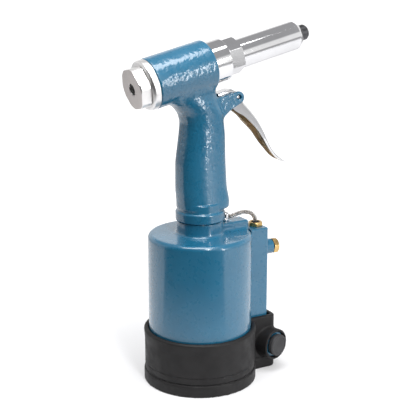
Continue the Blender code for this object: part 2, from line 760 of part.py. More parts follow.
def build_cable(mats):
    route = cable_route()
    add_object("throttle_cable", sweep(route, 0.75, sides=6), mats["spring_steel"])
    top = BLOCK_Z[1]
    outside = [p for p in route if p.x > 26.0 and p.z > top + 4.4]
    add_object("cable_sleeve", sweep(outside, 1.75, 1.05, sides=8), mats["clear_sleeve"])
    ferrule = lathe(rod_outline(3.0, ARM_TOP + GAP, ARM_TOP + 7.0, 0.5), 16)
    body = add_object("cable_ferrule", ferrule, mats["chrome"], None, (22.6, 0, 0))
    near = [p for p in route if ARM_TOP < p.z < 139.0 and p.x < 30.0]
    combine(body, "ferrule_bore_cut", sweep(near, 1.15, sides=6), "DIFFERENCE")
    boot = [(1.15, top + 2.1), (3.1, top + 2.1), (2.4, top + 4.1), (1.15, top + 4.1)]
    add_object("cable_boot", lathe(boot, 16), mats["rubber"], None, (VALVE_X, 0, 0))
    gland = [
        (1.15, top - 3.0),
        (VALVE_BORE_R - 0.2, top - 3.0),
        (VALVE_BORE_R - 0.2, top + GAP),
        (5.9, top + GAP),
        (5.9, top + 2.7),
        (5.3, top + 3.5),
        (3.5, top + 3.5),
        (3.5, top + 1.7),
        (1.15, top + 1.7),
    ]
    nut = add_object("cable_gland_nut", lathe(gland, ROD_SEG), mats["brass"], None, (VALVE_X, 0, 0))
    hexagon = [(0, top - 5), (6.1, top - 5), (6.1, top + 5), (0, top + 5)]
    combine(nut, "gland_hex_form", lathe(hexagon, 6, math.radians(10)), "INTERSECT", None, (VALVE_X, 0, 0))


def inlet_rotation():
    """Turns local +Z to the inlet's outward direction."""
    turn = math.radians(INLET_TURN)
    outward = Vector((math.sin(turn), -math.cos(turn), 0))
    return outward.to_track_quat("Z", "Y").to_euler()


def build_valve_block(mats):
    block = add_object(
        "valve_block",
        rounded_box(BLOCK_X[0], BLOCK_X[1], BLOCK_HALF_Y, *BLOCK_Z, 2.0, 3),
        mats["blue_paint"],
    )
    boss = lathe(rod_outline(BOSS_R, -8.0, BOSS_END_X - BLOCK_X[1], 0.6), ROD_SEG)
    combine(block, "boss_form", boss, "UNION", None, (BLOCK_X[1], 0, BOSS_Z), TO_FRONT)
    inlet = lathe(rod_outline(INLET_R, INLET_ROOT, INLET_REACH, 0.5), HEAD_SEG)
    combine(block, "inlet_form", inlet, "UNION", None, INLET_CENTRE, inlet_rotation())
    seat = lathe(rod_outline(CYL_R + GAP, -10, BLOCK_SEAT_Z, 0.1))
    combine(block, "cylinder_seat_cut", seat, "DIFFERENCE")
    arm_clear = lathe(rod_outline(ARM_CLEAR_R, BLOCK_SEAT_Z - 1.0, 140, 0.1))
    combine(block, "arm_clear_cut", arm_clear, "DIFFERENCE")
    port = lathe(rod_outline(INLET_BORE_R, 2.0, 40.0, 0.4), HEAD_SEG)
    combine(block, "inlet_bore_cut", port, "DIFFERENCE", None, INLET_CENTRE, inlet_rotation())
    split_faces(block)
    bore = lathe(rod_outline(VALVE_BORE_R, 58.0, 140.0, 0.2), ROD_SEG)
    combine(block, "valve_bore_cut", bore, "DIFFERENCE", None, (VALVE_X, 0, 0))
    split_faces(block)
    air = lathe(rod_outline(3.6, -6.0, 30.0, 0.2), ROD_SEG)
    combine(block, "silencer_bore_cut", air, "DIFFERENCE", None, (BLOCK_X[1], 0, BOSS_Z), TO_FRONT)


def build_valve_parts(mats, lift):
    spool = [
        (0, 70.0),
        (2.2, 70.0),
        (2.2, 76.0),
        (VALVE_BORE_R - RUN, 76.0),
        (VALVE_BORE_R - RUN, 82.0),
        (2.2, 83.0),
        (2.2, 94.0),
        (VALVE_BORE_R - RUN, 95.0),
        (VALVE_BORE_R - RUN, SPRING_Z[0] - GAP),
        (STEM_R, SPRING_Z[0] - GAP),
        (STEM_R, STEM_TOP),
        (0, STEM_TOP),
    ]
    add_object("throttle_spool", lathe(spool, ROD_SEG), mats["brass"], lift, (VALVE_X, 0, 0))
    spring = coil(2.9, 0.45, *SPRING_Z, 7, 4, 9)
    add_object("throttle_spring", spring, mats["spring_steel"], None, (VALVE_X, 0, 0))
    head = BOSS_END_X - BLOCK_X[1]
    plug = [
        (0, head - 5.0),
        (3.4, head - 5.0),
        (3.4, head + GAP),
        (6.3, head + GAP),
        (6.3, head + 4.2),
        (5.5, head + 5.0),
        (3.2, head + 5.0),
        (2.8, head + 3.8),
        (0, head + 3.8),
    ]
    silencer = lathe(plug, ROD_SEG)
    add_object("exhaust_silencer", silencer, mats["brass"], None, (BLOCK_X[1], 0, BOSS_Z), TO_FRONT)


def build_inlet_plug(mats):
    plug = [
        (0, 8.0),
        (6.6, 8.0),
        (INLET_BORE_R - 0.15, 9.0),
        (INLET_BORE_R - 0.15, INLET_REACH + GAP),
        (8.9, INLET_REACH + GAP),
        (8.9, INLET_REACH + 3.0),
        (8.0, INLET_REACH + 3.9),
        (0, INLET_REACH + 3.9),
    ]
    add_object("inlet_plug", lathe(plug, HEAD_SEG), mats["black_plastic"], None, INLET_CENTRE, inlet_rotation())


# ---- assembly -------------------------------------------------------------------------------
def axis_empty(name, location, tilt_from_up=0.0, parent=None):
    """An empty whose local Z is a joint's or a sub-assembly's axis."""
    empty = bpy.data.objects.new(name, None)
    empty.location = Vector(location) * MM
    empty.rotation_euler = (0.0, math.radians(tilt_from_up), 0.0)
    empty.parent = parent
    bpy.context.scene.collection.objects.link(empty)
    return empty


def main():
    for obj in list(bpy.data.objects):
        bpy.data.objects.remove(obj)
    mats = make_materials()
    head = axis_empty("head_axis", (0, 0, HEAD_Z), 90.0 - HEAD_TILT)
    draw = axis_empty("draw_axis", (0, 0, 0), 0.0, head)
    ram = axis_empty("ram_axis", (0, 0, 0))
    pivot = axis_empty("trigger_axis", (PIN_X, 0, PIN_Z))
    lift = axis_empty("throttle_axis", (0, 0, 0))
    build_rubber_boot(mats)
    build_air_cylinder(mats)
    build_cylinder_base(mats)
    build_air_piston(mats, ram)
    build_neck_parts(mats)
    build_handle_frame(mats, head)
    build_oil_fill(mats)
    build_rear_caps(mats, head)
    build_nose(mats, head)
    build_draw_parts(mats, head, draw)
    build_trigger(mats, pivot)
    build_cable(mats)
    build_valve_block(mats)
    build_valve_parts(mats, lift)
    build_inlet_plug(mats)


main()
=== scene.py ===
"""Looks of an air-hydraulic rivet gun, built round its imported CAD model.

Lengths are in millimetres unless a comment says metres.
"""

import json
import math

import bmesh
import bpy
import numpy as np
from mathutils import Matrix, Vector


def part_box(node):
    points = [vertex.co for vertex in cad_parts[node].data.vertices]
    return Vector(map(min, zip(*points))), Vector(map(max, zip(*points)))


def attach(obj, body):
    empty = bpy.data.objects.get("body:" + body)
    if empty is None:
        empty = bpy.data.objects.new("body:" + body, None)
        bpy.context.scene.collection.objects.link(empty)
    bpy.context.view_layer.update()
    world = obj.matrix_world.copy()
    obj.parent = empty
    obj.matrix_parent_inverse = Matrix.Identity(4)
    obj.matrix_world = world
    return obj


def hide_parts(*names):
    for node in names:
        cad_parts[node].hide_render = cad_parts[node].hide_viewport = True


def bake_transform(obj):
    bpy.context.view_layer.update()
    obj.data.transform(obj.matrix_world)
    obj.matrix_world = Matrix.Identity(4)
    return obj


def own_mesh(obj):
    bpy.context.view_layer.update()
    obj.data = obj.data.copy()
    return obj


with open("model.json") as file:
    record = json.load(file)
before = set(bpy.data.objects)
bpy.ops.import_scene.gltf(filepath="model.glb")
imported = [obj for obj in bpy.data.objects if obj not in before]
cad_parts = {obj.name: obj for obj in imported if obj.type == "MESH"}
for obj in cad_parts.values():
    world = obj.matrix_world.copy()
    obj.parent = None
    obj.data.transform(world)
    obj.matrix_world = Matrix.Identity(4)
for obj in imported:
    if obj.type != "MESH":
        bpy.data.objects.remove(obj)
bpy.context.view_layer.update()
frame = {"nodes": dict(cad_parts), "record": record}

MM = 0.001
RECORD = frame["record"]
BODY_OF = {node: body for body, nodes in RECORD["behaviour"]["bodies"].items() for node in nodes}
SLOT_OF = {row["node"]: row["material_slot"] for row in RECORD["subparts"]}


def node_box(node):
    """Lowest and highest corner of a CAD node, in millimetres."""
    low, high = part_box(node)
    return np.array(low) / MM, np.array(high) / MM


# ---- driving dimensions ---------------------------------------------------------------------
GAP = 0.3
CYL_R = -node_box("air_cylinder")[0][0]
CYL_BOTTOM = node_box("air_cylinder")[0][2]
NECK_TOP = node_box("air_cylinder")[1][2]
CYL_TOP = 120.5
CYL_BORE_R = 37.6
NECK_R = 18.2
NECK_BORE_R = 11.5
ARM_TOP = 126.8
ARM_END_X = 41.0
ARM_HALF_Y = 7.0
BOOT_R = -node_box("rubber_boot")[0][0]
BOOT_TOP = 43.4
BOOT_SIDE_TOP = node_box("rubber_boot")[1][2]
BOOT_SIDE_X = 64.2
POCKET_X = 60.6
HEAD_Z = 251.0
TILT = math.radians(13.0)
HEAD_R = 19.5
HEAD_S = (-44.0, 6.2)
HEAD_BORE_R = 15.6
JOINT_Z = node_box("handle_frame")[0][2]
COLLAR_R = 19.3
PIN = (29.9, 226.6)
EAR_R = 5.0
FLANGE_R = 19.2
FLANGE_REAR = -50.0
FLANGE_FRONT = -44.3
CAP_R = 16.2
CAP_CORNER_R = 17.3
CAP_S = (-58.7, -50.3)
BOOT_SIDE_HALF_Y = 14.2
ARM_CLEAR_R = 42.4
NUT_CORNER_R = 14.4
EAR_HALF_Y = 8.4
SLOT_HALF_Y = 5.6
SLEEVE_R = 16.2
SLEEVE_END = 20.5
NUT_END = 32.6
TUBE_R = 11.3
TUBE_SHOULDER = 86.6
TUBE_END = 91.6
NOSE_END = 98.4
BLOCK_X = (37.0, 57.8)
BLOCK_HALF_Y = 10.0
BLOCK_Z = (6.0, 118.9)
VALVE_X = 51.2
BOSS_Z = 99.5
BOSS_END_X = 66.4
INLET_CENTRE = np.array((52.8, 0.0, 22.4))
INLET_TURN = math.radians(15.0)
INLET_REACH = 22.6
INLET_R = 10.4
INLET_BORE_R = 7.4
BOOT_COLLAR_R = 12.6
BOSS_R = 6.1
VALVE_BORE_R = 4.0
SILENCER_BORE_R = 3.6
OIL_BORE_R = 7.0
FILL_Z = 190.0
MAIN_SPRING_S = (-37.6, -12.3)
JAW_SPRING_S = (57.4, 65.7)
THROTTLE_SPRING_Z = (101.3, 115.6)
CAMERA_AZIMUTH = math.radians(-29.0)
DARK_SIDE = math.radians(43.5)   # how far left of -Y the studio's dark opening faces

HEAD_AXIS = np.array((math.cos(TILT), 0.0, math.sin(TILT)))
HEAD_CENTRE = np.array((0.0, 0.0, HEAD_Z))
INLET_AXIS = np.array((math.sin(INLET_TURN), -math.cos(INLET_TURN), 0.0))
UP = np.array((0.0, 0.0, 1.0))
FORWARD = np.array((1.0, 0.0, 0.0))
IN_HEAD = Matrix.Translation(HEAD_CENTRE) @ Matrix.Rotation(math.pi / 2 - TILT, 4, "Y")
IN_INLET = Matrix.Translation(INLET_CENTRE) @ Vector(INLET_AXIS).to_track_quat("Z", "Y").to_matrix().to_4x4()
IN_BOSS = Matrix.Translation((BLOCK_X[1], 0, BOSS_Z)) @ Matrix.Rotation(math.pi / 2, 4, "Y")
ACROSS = Matrix.Rotation(-math.pi / 2, 4, "X")

# Throttle cable's route from the trigger to the valve, as in the CAD (x, y, z).
CABLE_ROUTE = (
    (15.2, 0, 226.6),
    (13.4, 0, 215.0),
    (13.0, 0, 195.0),
    (13.4, 0, 172.0),
    (15.2, 0, 154.0),
    (19.4, 0, 141.5),
    (22.2, 0, 133.8),
    (24.4, 0, 130.6),
    (28.3, 0, 130.0),
    (33.6, 0, 131.1),
    (39.0, 0, 131.7),
    (44.4, 0, 131.0),
    (48.2, 0, 128.8),
    (50.5, 0, 125.6),
    (51.2, 0, 122.4),
    (51.2, 0, 120.0),
)


# ---- camera, light and floor ----------------------------------------------------------------
def make_camera():
    """The photographed view: on the tool's -Y side, 29 degrees towards its rear and 13.7 degrees down."""
    distance = 800.0
    pitch = math.radians(13.7)
    data = bpy.data.cameras.new("camera")
    data.lens = 90.8
    data.sensor_width = 36.0
    data.shift_x = 0.0238
    data.shift_y = -0.0714
    camera = bpy.data.objects.new("camera", data)
    across, along = math.sin(CAMERA_AZIMUTH) * distance, -math.cos(CAMERA_AZIMUTH) * distance
    camera.location = Vector((across, along, 357.8)) * MM
    camera.rotation_euler = (math.pi / 2 - pitch, 0, CAMERA_AZIMUTH)
    bpy.context.scene.collection.objects.link(camera)
    bpy.context.scene.camera = camera


def area_light(name, azimuth, elevation, distance, size, power):
    """A soft box that looks at the tool's middle. Azimuth 0 is behind a camera that looks along +Y."""
    a, e = math.radians(azimuth), math.radians(elevation)
    target = Vector((0.0, 0.0, 0.15))
    back = Vector((math.sin(a) * math.cos(e), -math.cos(a) * math.cos(e), math.sin(e)))
    data = bpy.data.lights.new(name, "AREA")
    data.shape = "RECTANGLE"
    data.size, data.size_y = size
    data.energy = power
    light = bpy.data.objects.new(name, data)
    light.location = target + back * distance
    light.rotation_mode = "QUATERNION"
    light.rotation_quaternion = back.to_track_quat("Z", "Y")
    bpy.context.scene.collection.objects.link(light)


def turned_coordinates(nodes, links, coordinates):
    """Coordinates turned so that their -Y faces the studio's dark opening."""
    turn = nodes.new("ShaderNodeVectorRotate")
    turn.rotation_type = "Z_AXIS"
    turn.inputs["Angle"].default_value = DARK_SIDE
    links.new(coordinates, turn.inputs["Vector"])
    return turn.outputs["Vector"]


def make_studio():
    """Light tent: bright beside, greyer overhead, with a dark opening in front. Seen directly it is white."""
    world = bpy.data.worlds.new("studio")
    bpy.context.scene.world = world
    world.use_nodes = True
    nodes, links = world.node_tree.nodes, world.node_tree.links
    nodes.clear()
    out = nodes.new("ShaderNodeOutputWorld")
    seen = nodes.new("ShaderNodeBackground")
    seen.inputs["Color"].default_value = (1, 1, 1, 1)
    seen.inputs["Strength"].default_value = 1.0
    room = nodes.new("ShaderNodeBackground")
    room.inputs["Strength"].default_value = 0.95
    coord = nodes.new("ShaderNodeTexCoord")
    turn = turned_coordinates(nodes, links, coord.outputs["Generated"])
    split = nodes.new("ShaderNodeSeparateXYZ")
    ramp = nodes.new("ShaderNodeValToRGB")
    ramp.color_ramp.elements[0].position = 0.0
    ramp.color_ramp.elements[0].color = (0.05, 0.05, 0.05, 1)
    ramp.color_ramp.elements[1].position = 1.0
    ramp.color_ramp.elements[1].color = (1, 1, 1, 1)
    side = ramp.color_ramp.elements.new(0.26)
    side.color = (0.09, 0.09, 0.09, 1)
    edge = ramp.color_ramp.elements.new(0.31)
    edge.color = (1.0, 1.0, 1.0, 1)
    lift = nodes.new("ShaderNodeMapRange")
    lift.inputs["From Min"].default_value = -1.0
    lift.inputs["From Max"].default_value = 1.0
    path = nodes.new("ShaderNodeLightPath")
    mix = nodes.new("ShaderNodeMixShader")
    links.new(turn, split.inputs["Vector"])
    links.new(split.outputs["Y"], lift.inputs["Value"])
    links.new(lift.outputs["Result"], ramp.inputs["Fac"])
    rise = nodes.new("ShaderNodeMapRange")
    rise.inputs["From Min"].default_value = -1.0
    rise.inputs["From Max"].default_value = 1.0
    sky = nodes.new("ShaderNodeValToRGB")
    sky.color_ramp.elements[0].position = 0.45
    sky.color_ramp.elements[0].color = (0.8, 0.8, 0.8, 1)
    sky.color_ramp.elements[1].position = 0.78
    sky.color_ramp.elements[1].color = (0.42, 0.42, 0.43, 1)
    band = sky.color_ramp.elements.new(0.52)
    band.color = (1, 1, 1, 1)
    shade = sky.color_ramp.elements.new(0.72)
    shade.color = (1, 1, 1, 1)
    both = nodes.new("ShaderNodeMix")
    both.data_type = "RGBA"
    both.blend_type = "MULTIPLY"
    both.inputs["Factor"].default_value = 1.0
    links.new(split.outputs["Z"], rise.inputs["Value"])
    links.new(rise.outputs["Result"], sky.inputs["Fac"])
    links.new(ramp.outputs["Color"], both.inputs["A"])
    links.new(sky.outputs["Color"], both.inputs["B"])
    links.new(both.outputs["Result"], room.inputs["Color"])
    links.new(path.outputs["Is Camera Ray"], mix.inputs["Fac"])
    links.new(room.outputs["Background"], mix.inputs[1])
    links.new(seen.outputs["Background"], mix.inputs[2])
    links.new(mix.outputs["Shader"], out.inputs["Surface"])

    area_light("top_box", -40, 78, 0.9, (0.7, 0.5), 9.0)
    area_light("front_box", -8, 40, 1.1, (0.16, 0.5), 5.0)
    area_light("right_strip", 22, 8, 1.0, (0.10, 0.55), 2.6)


def make_floor():
    """White paper. In reflections it has painted shade: dark beyond 0.13-0.30 m from the tool, towards the
    studio's dark opening. Seen directly it goes on and glows, with painted light rising from 0.34 m to 0.85 m
    out.
    """
    bm = bmesh.new()
    bmesh.ops.create_grid(bm, x_segments=8, y_segments=8, size=6.0)
    mesh = bpy.data.meshes.new("floor")
    bm.to_mesh(mesh)
    bm.free()
    floor = bpy.data.objects.new("floor", mesh)
    mat, nodes, links, shader = new_material("floor_paper_painted_light_and_shade", (0.62, 0.62, 0.63), 0.0, 0.8)
    shader.inputs["Specular IOR Level"].default_value = 0.1
    shader.inputs["Emission Color"].default_value = (1, 1, 1, 1)
    paper_with_painted_shade = nodes.new("ShaderNodeBsdfDiffuse")
    coord = nodes.new("ShaderNodeTexCoord")
    turn = turned_coordinates(nodes, links, coord.outputs["Object"])
    reach = nodes.new("ShaderNodeVectorMath")
    reach.operation = "LENGTH"
    heading = nodes.new("ShaderNodeVectorMath")
    heading.operation = "NORMALIZE"
    split = nodes.new("ShaderNodeSeparateXYZ")
    links.new(turn, reach.inputs[0])
    links.new(turn, heading.inputs[0])
    links.new(heading.outputs["Vector"], split.inputs["Vector"])
    # Painted shade: the paper seen in reflections turns dark away from the tool, towards the studio's dark
    # opening.
    near = mapped(nodes, links, reach.outputs["Value"], 1.0, 0.0, 0.13, 0.30)
    beside = mapped(nodes, links, split.outputs["Y"], 0.0, 1.0, -0.46, -0.38)
    outside_painted_shade = math_node(nodes, links, "MAXIMUM", near, beside)
    links.new(mixed_color(nodes, links, outside_painted_shade, (0.04, 0.04, 0.04), (0.90, 0.90, 0.91)), paper_with_painted_shade.inputs["Color"])
    # Painted light: the paper seen directly glows, more strongly from 0.34 m to 0.85 m away from the tool.
    painted_glow = mapped(nodes, links, reach.outputs["Value"], 0.34, 0.85, 0.10, 0.55)
    links.new(painted_glow, shader.inputs["Emission Strength"])
    path = nodes.new("ShaderNodeLightPath")
    mix = nodes.new("ShaderNodeMixShader")
    links.new(path.outputs["Is Camera Ray"], mix.inputs["Fac"])
    links.new(paper_with_painted_shade.outputs["BSDF"], mix.inputs[1])
    links.new(shader.outputs["BSDF"], mix.inputs[2])
    links.new(mix.outputs["Shader"], nodes["Material Output"].inputs["Surface"])
    mesh.materials.append(mat)
    bpy.context.scene.collection.objects.link(floor)


# ---- materials ------------------------------------------------------------------------------
def new_material(name, color, metallic, roughness):
    mat = bpy.data.materials.new(name)
    mat.use_nodes = True
    nodes, links = mat.node_tree.nodes, mat.node_tree.links
    shader = nodes["Principled BSDF"]
    shader.inputs["Base Color"].default_value = (*color, 1.0)
    shader.inputs["Metallic"].default_value = metallic
    shader.inputs["Roughness"].default_value = roughness
    return mat, nodes, links, shader


def noise(nodes, links, scale, detail=3.0, stretch=None, rough=0.5):
    """Noise over object coordinates, which are metres, or stretched along one axis."""
    coord = nodes.new("ShaderNodeTexCoord")
    texture = nodes.new("ShaderNodeTexNoise")
    texture.inputs["Scale"].default_value = scale
    texture.inputs["Detail"].default_value = detail
    texture.inputs["Roughness"].default_value = rough
    if stretch is None:
        links.new(coord.outputs["Object"], texture.inputs["Vector"])
        return texture.outputs["Fac"]
    mapping = nodes.new("ShaderNodeMapping")
    turn, scales = stretch
    mapping.inputs["Rotation"].default_value = turn
    mapping.inputs["Scale"].default_value = scales
    links.new(coord.outputs["Object"], mapping.inputs["Vector"])
    links.new(mapping.outputs["Vector"], texture.inputs["Vector"])
    return texture.outputs["Fac"]


def mapped(nodes, links, value, low, high, from_low=0.3, from_high=0.7):
    """Value stretched from one range to another."""
    node = nodes.new("ShaderNodeMapRange")
    node.inputs["From Min"].default_value = from_low
    node.inputs["From Max"].default_value = from_high
    node.inputs["To Min"].default_value = low
    node.inputs["To Max"].default_value = high
    links.new(value, node.inputs["Value"])
    return node.outputs["Result"]


def mixed_color(nodes, links, value, first, second):
    node = nodes.new("ShaderNodeMix")
    node.data_type = "RGBA"
    node.inputs["A"].default_value = (*first, 1.0)
    node.inputs["B"].default_value = (*second, 1.0)
    links.new(value, node.inputs["Factor"])
    return node.outputs["Result"]


def math_node(nodes, links, operation, first, second):
    node = nodes.new("ShaderNodeMath")
    node.operation = operation
    for socket, value in zip(node.inputs, (first, second)):
        if isinstance(value, (int, float)):
            socket.default_value = value
        else:
            links.new(value, socket)
    return node.outputs["Value"]


def bumped(nodes, links, shader, height, depth, before=None, coat=False):
    """Bump of the given depth in millimetres, on top of an earlier one if there is one."""
    node = nodes.new("ShaderNodeBump")
    node.inputs["Distance"].default_value = depth * MM
    links.new(height, node.inputs["Height"])
    if before is not None:
        links.new(before, node.inputs["Normal"])
    links.new(node.outputs["Normal"], shader.inputs["Normal"])
    if coat:
        links.new(node.outputs["Normal"], shader.inputs["Coat Normal"])
    return node.outputs["Normal"]


def rougher_above(nodes, links, height):
    """1 above a height in metres, going down to 0.35 five centimetres below it."""
    coord = nodes.new("ShaderNodeTexCoord")
    split = nodes.new("ShaderNodeSeparateXYZ")
    links.new(coord.outputs["Object"], split.inputs["Vector"])
    return mapped(nodes, links, split.outputs["Z"], 0.35, 1.0, height - 0.05, height)


def hammered_paint(name, depth, patch_low, patch_high, rough_height):
    """Blue enamel with the runny texture of hammer finish, rougher in some patches than in others."""
    mat, nodes, links, shader = new_material(name, (0.02, 0.125, 0.25), 0.0, 0.3)
    tone = mapped(nodes, links, noise(nodes, links, 38.0, 4.0), 0.0, 1.0)
    color = mixed_color(nodes, links, tone, (0.009, 0.118, 0.218), (0.014, 0.142, 0.254))
    links.new(color, shader.inputs["Base Color"])
    shader.inputs["Coat Weight"].default_value = 0.7
    shader.inputs["Coat Roughness"].default_value = 0.05
    shader.inputs["Coat IOR"].default_value = 1.55
    roughness = mapped(nodes, links, noise(nodes, links, 240.0, 4.0), 0.24, 0.36)
    links.new(roughness, shader.inputs["Roughness"])
    dimples = noise(nodes, links, 300.0, 1.5, rough=0.45)
    wrinkles = noise(nodes, links, 780.0, 1.0, rough=0.5)
    patches = mapped(nodes, links, noise(nodes, links, 26.0, 1.0), patch_low, patch_high, 0.35, 0.65)
    patches = math_node(nodes, links, "MULTIPLY", patches, rougher_above(nodes, links, rough_height))
    height = math_node(nodes, links, "MULTIPLY", dimples, patches)
    first = bumped(nodes, links, shader, height, depth, coat=True)
    fine = math_node(nodes, links, "MULTIPLY", wrinkles, patches)
    bumped(nodes, links, shader, fine, depth * 0.12, first, coat=True)
    return mat


def polished(name, color, low, high, turn, streaks, depth=0.004):
    """Bright metal with fine turning marks across the given axis."""
    mat, nodes, links, shader = new_material(name, color, 1.0, (low + high) / 2)
    marks = noise(nodes, links, 60.0, 6.0, (turn, streaks), 0.7)
    links.new(mapped(nodes, links, marks, low, high), shader.inputs["Roughness"])
    tone = mapped(nodes, links, noise(nodes, links, 55.0, 3.0), 0.0, 1.0)
    dark = tuple(c * 0.92 for c in color)
    links.new(mixed_color(nodes, links, tone, dark, color), shader.inputs["Base Color"])
    first = bumped(nodes, links, shader, marks, depth)
    dents = noise(nodes, links, 900.0, 2.0)
    bumped(nodes, links, shader, dents, depth * 0.3, first)
    return mat


def rubber(name, color, grain, scale=900.0):
    mat, nodes, links, shader = new_material(name, color, 0.0, 0.6)
    shader.inputs["Specular IOR Level"].default_value = 0.3
    tone = mapped(nodes, links, noise(nodes, links, 48.0, 4.0), 0.0, 1.0)
    light = tuple(c * 1.45 for c in color)
    links.new(mixed_color(nodes, links, tone, color, light), shader.inputs["Base Color"])
    smudge = mapped(nodes, links, noise(nodes, links, 120.0, 5.0), 0.48, 0.68)
    links.new(smudge, shader.inputs["Roughness"])
    first = bumped(nodes, links, shader, noise(nodes, links, scale, 3.0), grain)
    bumped(nodes, links, shader, noise(nodes, links, 90.0, 2.0), grain * 3.0, first)
    return mat


def sintered(name, color):
    """Brass, pitted like a sintered silencer or a lathe-cut nut."""
    mat, nodes, links, shader = new_material(name, color, 1.0, 0.3)
    tone = mapped(nodes, links, noise(nodes, links, 260.0, 4.0), 0.0, 1.0)
    worn = tuple(c * 0.7 for c in color)
    links.new(mixed_color(nodes, links, tone, worn, color), shader.inputs["Base Color"])
    links.new(mapped(nodes, links, noise(nodes, links, 700.0, 3.0), 0.2, 0.42), shader.inputs["Roughness"])
    bumped(nodes, links, shader, noise(nodes, links, 1500.0, 3.0), 0.02)
    return mat


def clear_plastic(name):
    mat, nodes, links, shader = new_material(name, (0.86, 0.83, 0.80), 0.0, 0.2)
    shader.inputs["Transmission Weight"].default_value = 0.9
    shader.inputs["IOR"].default_value = 1.45
    tone = mapped(nodes, links, noise(nodes, links, 300.0, 3.0), 0.0, 1.0)
    color = mixed_color(nodes, links, tone, (0.74, 0.70, 0.66), (0.90, 0.88, 0.86))
    links.new(color, shader.inputs["Base Color"])
    links.new(mapped(nodes, links, noise(nodes, links, 500.0, 3.0), 0.12, 0.3), shader.inputs["Roughness"])
    bumped(nodes, links, shader, noise(nodes, links, 650.0, 2.0), 0.008)
    return mat


def make_materials():
    along_head = (0.0, -(math.pi / 2 - TILT), 0.0)
    upright = (0.0, 0.0, 0.0)
    rings = (0.4, 0.4, 90.0)
    circles = (40.0, 40.0, 0.4)
    drawn = (30.0, 30.0, 1.0)
    rolled = (1.0, 60.0, 1.0)
    return {
        "blue_paint": hammered_paint("blue_hammered_enamel", 0.50, 0.45, 1.0, 0.215),
        "blue_cylinder": hammered_paint("blue_smooth_enamel", 0.08, 0.1, 0.8, 0.110),
        "chrome": polished("chrome_plate", (0.80, 0.80, 0.81), 0.05, 0.13, along_head, rings),
        "satin_alu": polished("satin_aluminium", (0.90, 0.89, 0.88), 0.30, 0.46, along_head, rings, 0.012),
        "cap_face": polished("faced_aluminium", (0.62, 0.58, 0.56), 0.34, 0.48, along_head, circles, 0.008),
        "steel": polished("ground_steel", (0.52, 0.52, 0.53), 0.22, 0.36, upright, rings, 0.01),
        "dark_steel": polished("blackened_steel", (0.10, 0.10, 0.105), 0.25, 0.42, along_head, rings, 0.012),
        "spring_steel": polished("drawn_wire", (0.30, 0.29, 0.29), 0.22, 0.36, upright, drawn, 0.01),
        "brass": sintered("machined_brass", (0.78, 0.53, 0.22)),
        "rubber": rubber("moulded_rubber", (0.010, 0.0095, 0.010), 0.05),
        "seal": rubber("nitrile_seal", (0.016, 0.016, 0.017), 0.02),
        "black_plastic": rubber("black_plastic", (0.034, 0.034, 0.036), 0.03, 1400.0),
        "clear_sleeve": clear_plastic("clear_sleeve"),
        # Painted reflection and shade: the inside of the chrome trigger channel is tinted brown.
        "inside_painted_reflection": polished(
            "trigger_inside_painted_reflection", (0.62, 0.51, 0.37), 0.22, 0.38, upright, rolled, 0.01
        ),
    }


# ---- distance fields ------------------------------------------------------------------------
def soft_union(a, b, width):
    """Union of two distance fields with a fillet about as wide as width."""
    h = np.clip(0.5 + 0.5 * (b - a) / width, 0.0, 1.0)
    return b * (1 - h) + a * h - width * h * (1 - h)


def soft_cut(a, b, width=0.5):
    """Field a less field b, with a slightly broken edge."""
    return -soft_union(-a, b, width)


def rounded_corner(a, b, edge):
    """Meeting of two half-spaces whose outside corner is rounded."""
    outside = np.hypot(np.maximum(a + edge, 0), np.maximum(b + edge, 0))
    return np.minimum(np.maximum(a + edge, b + edge), 0) + outside - edge


def rod(p, centre, axis, span, radius, edge=0.5):
    """Round bar along axis, between two places on it. Radius and edge may vary from point to point."""
    rel = p - centre
    along = rel @ axis
    off = np.linalg.norm(rel - along[:, None] * axis, axis=1)
    middle, half = (span[0] + span[1]) / 2, (span[1] - span[0]) / 2
    return rounded_corner(off - radius, np.abs(along - middle) - half, edge)


def block(p, low, high, corner, edge):
    """Upright box with plan corners rounded by corner, and its top and bottom edges by edge."""
    low, high = np.array(low), np.array(high)
    middle, half = (low + high) / 2, (high - low) / 2
    q = np.abs(p - middle) - half
    plan = rounded_corner(q[:, 0], q[:, 1], corner)
    return rounded_corner(plan, q[:, 2], edge)


def polygon(x, z, corners):
    """Signed distance to a flat outline."""
    best = np.full(len(x), 1e9)
    sign = np.ones(len(x))
    for (ax, az), (bx, bz) in zip(corners, corners[1:] + corners[:1]):
        ex, ez, wx, wz = bx - ax, bz - az, x - ax, z - az
        t = np.clip((wx * ex + wz * ez) / (ex * ex + ez * ez), 0, 1)
        best = np.minimum(best, (wx - ex * t) ** 2 + (wz - ez * t) ** 2)
        above, below, left = z >= az, z < bz, ex * wz > ez * wx
        flip = (above & below & left) | (~above & ~below & ~left)
        sign = np.where(flip, -sign, sign)
    return sign * np.sqrt(best)


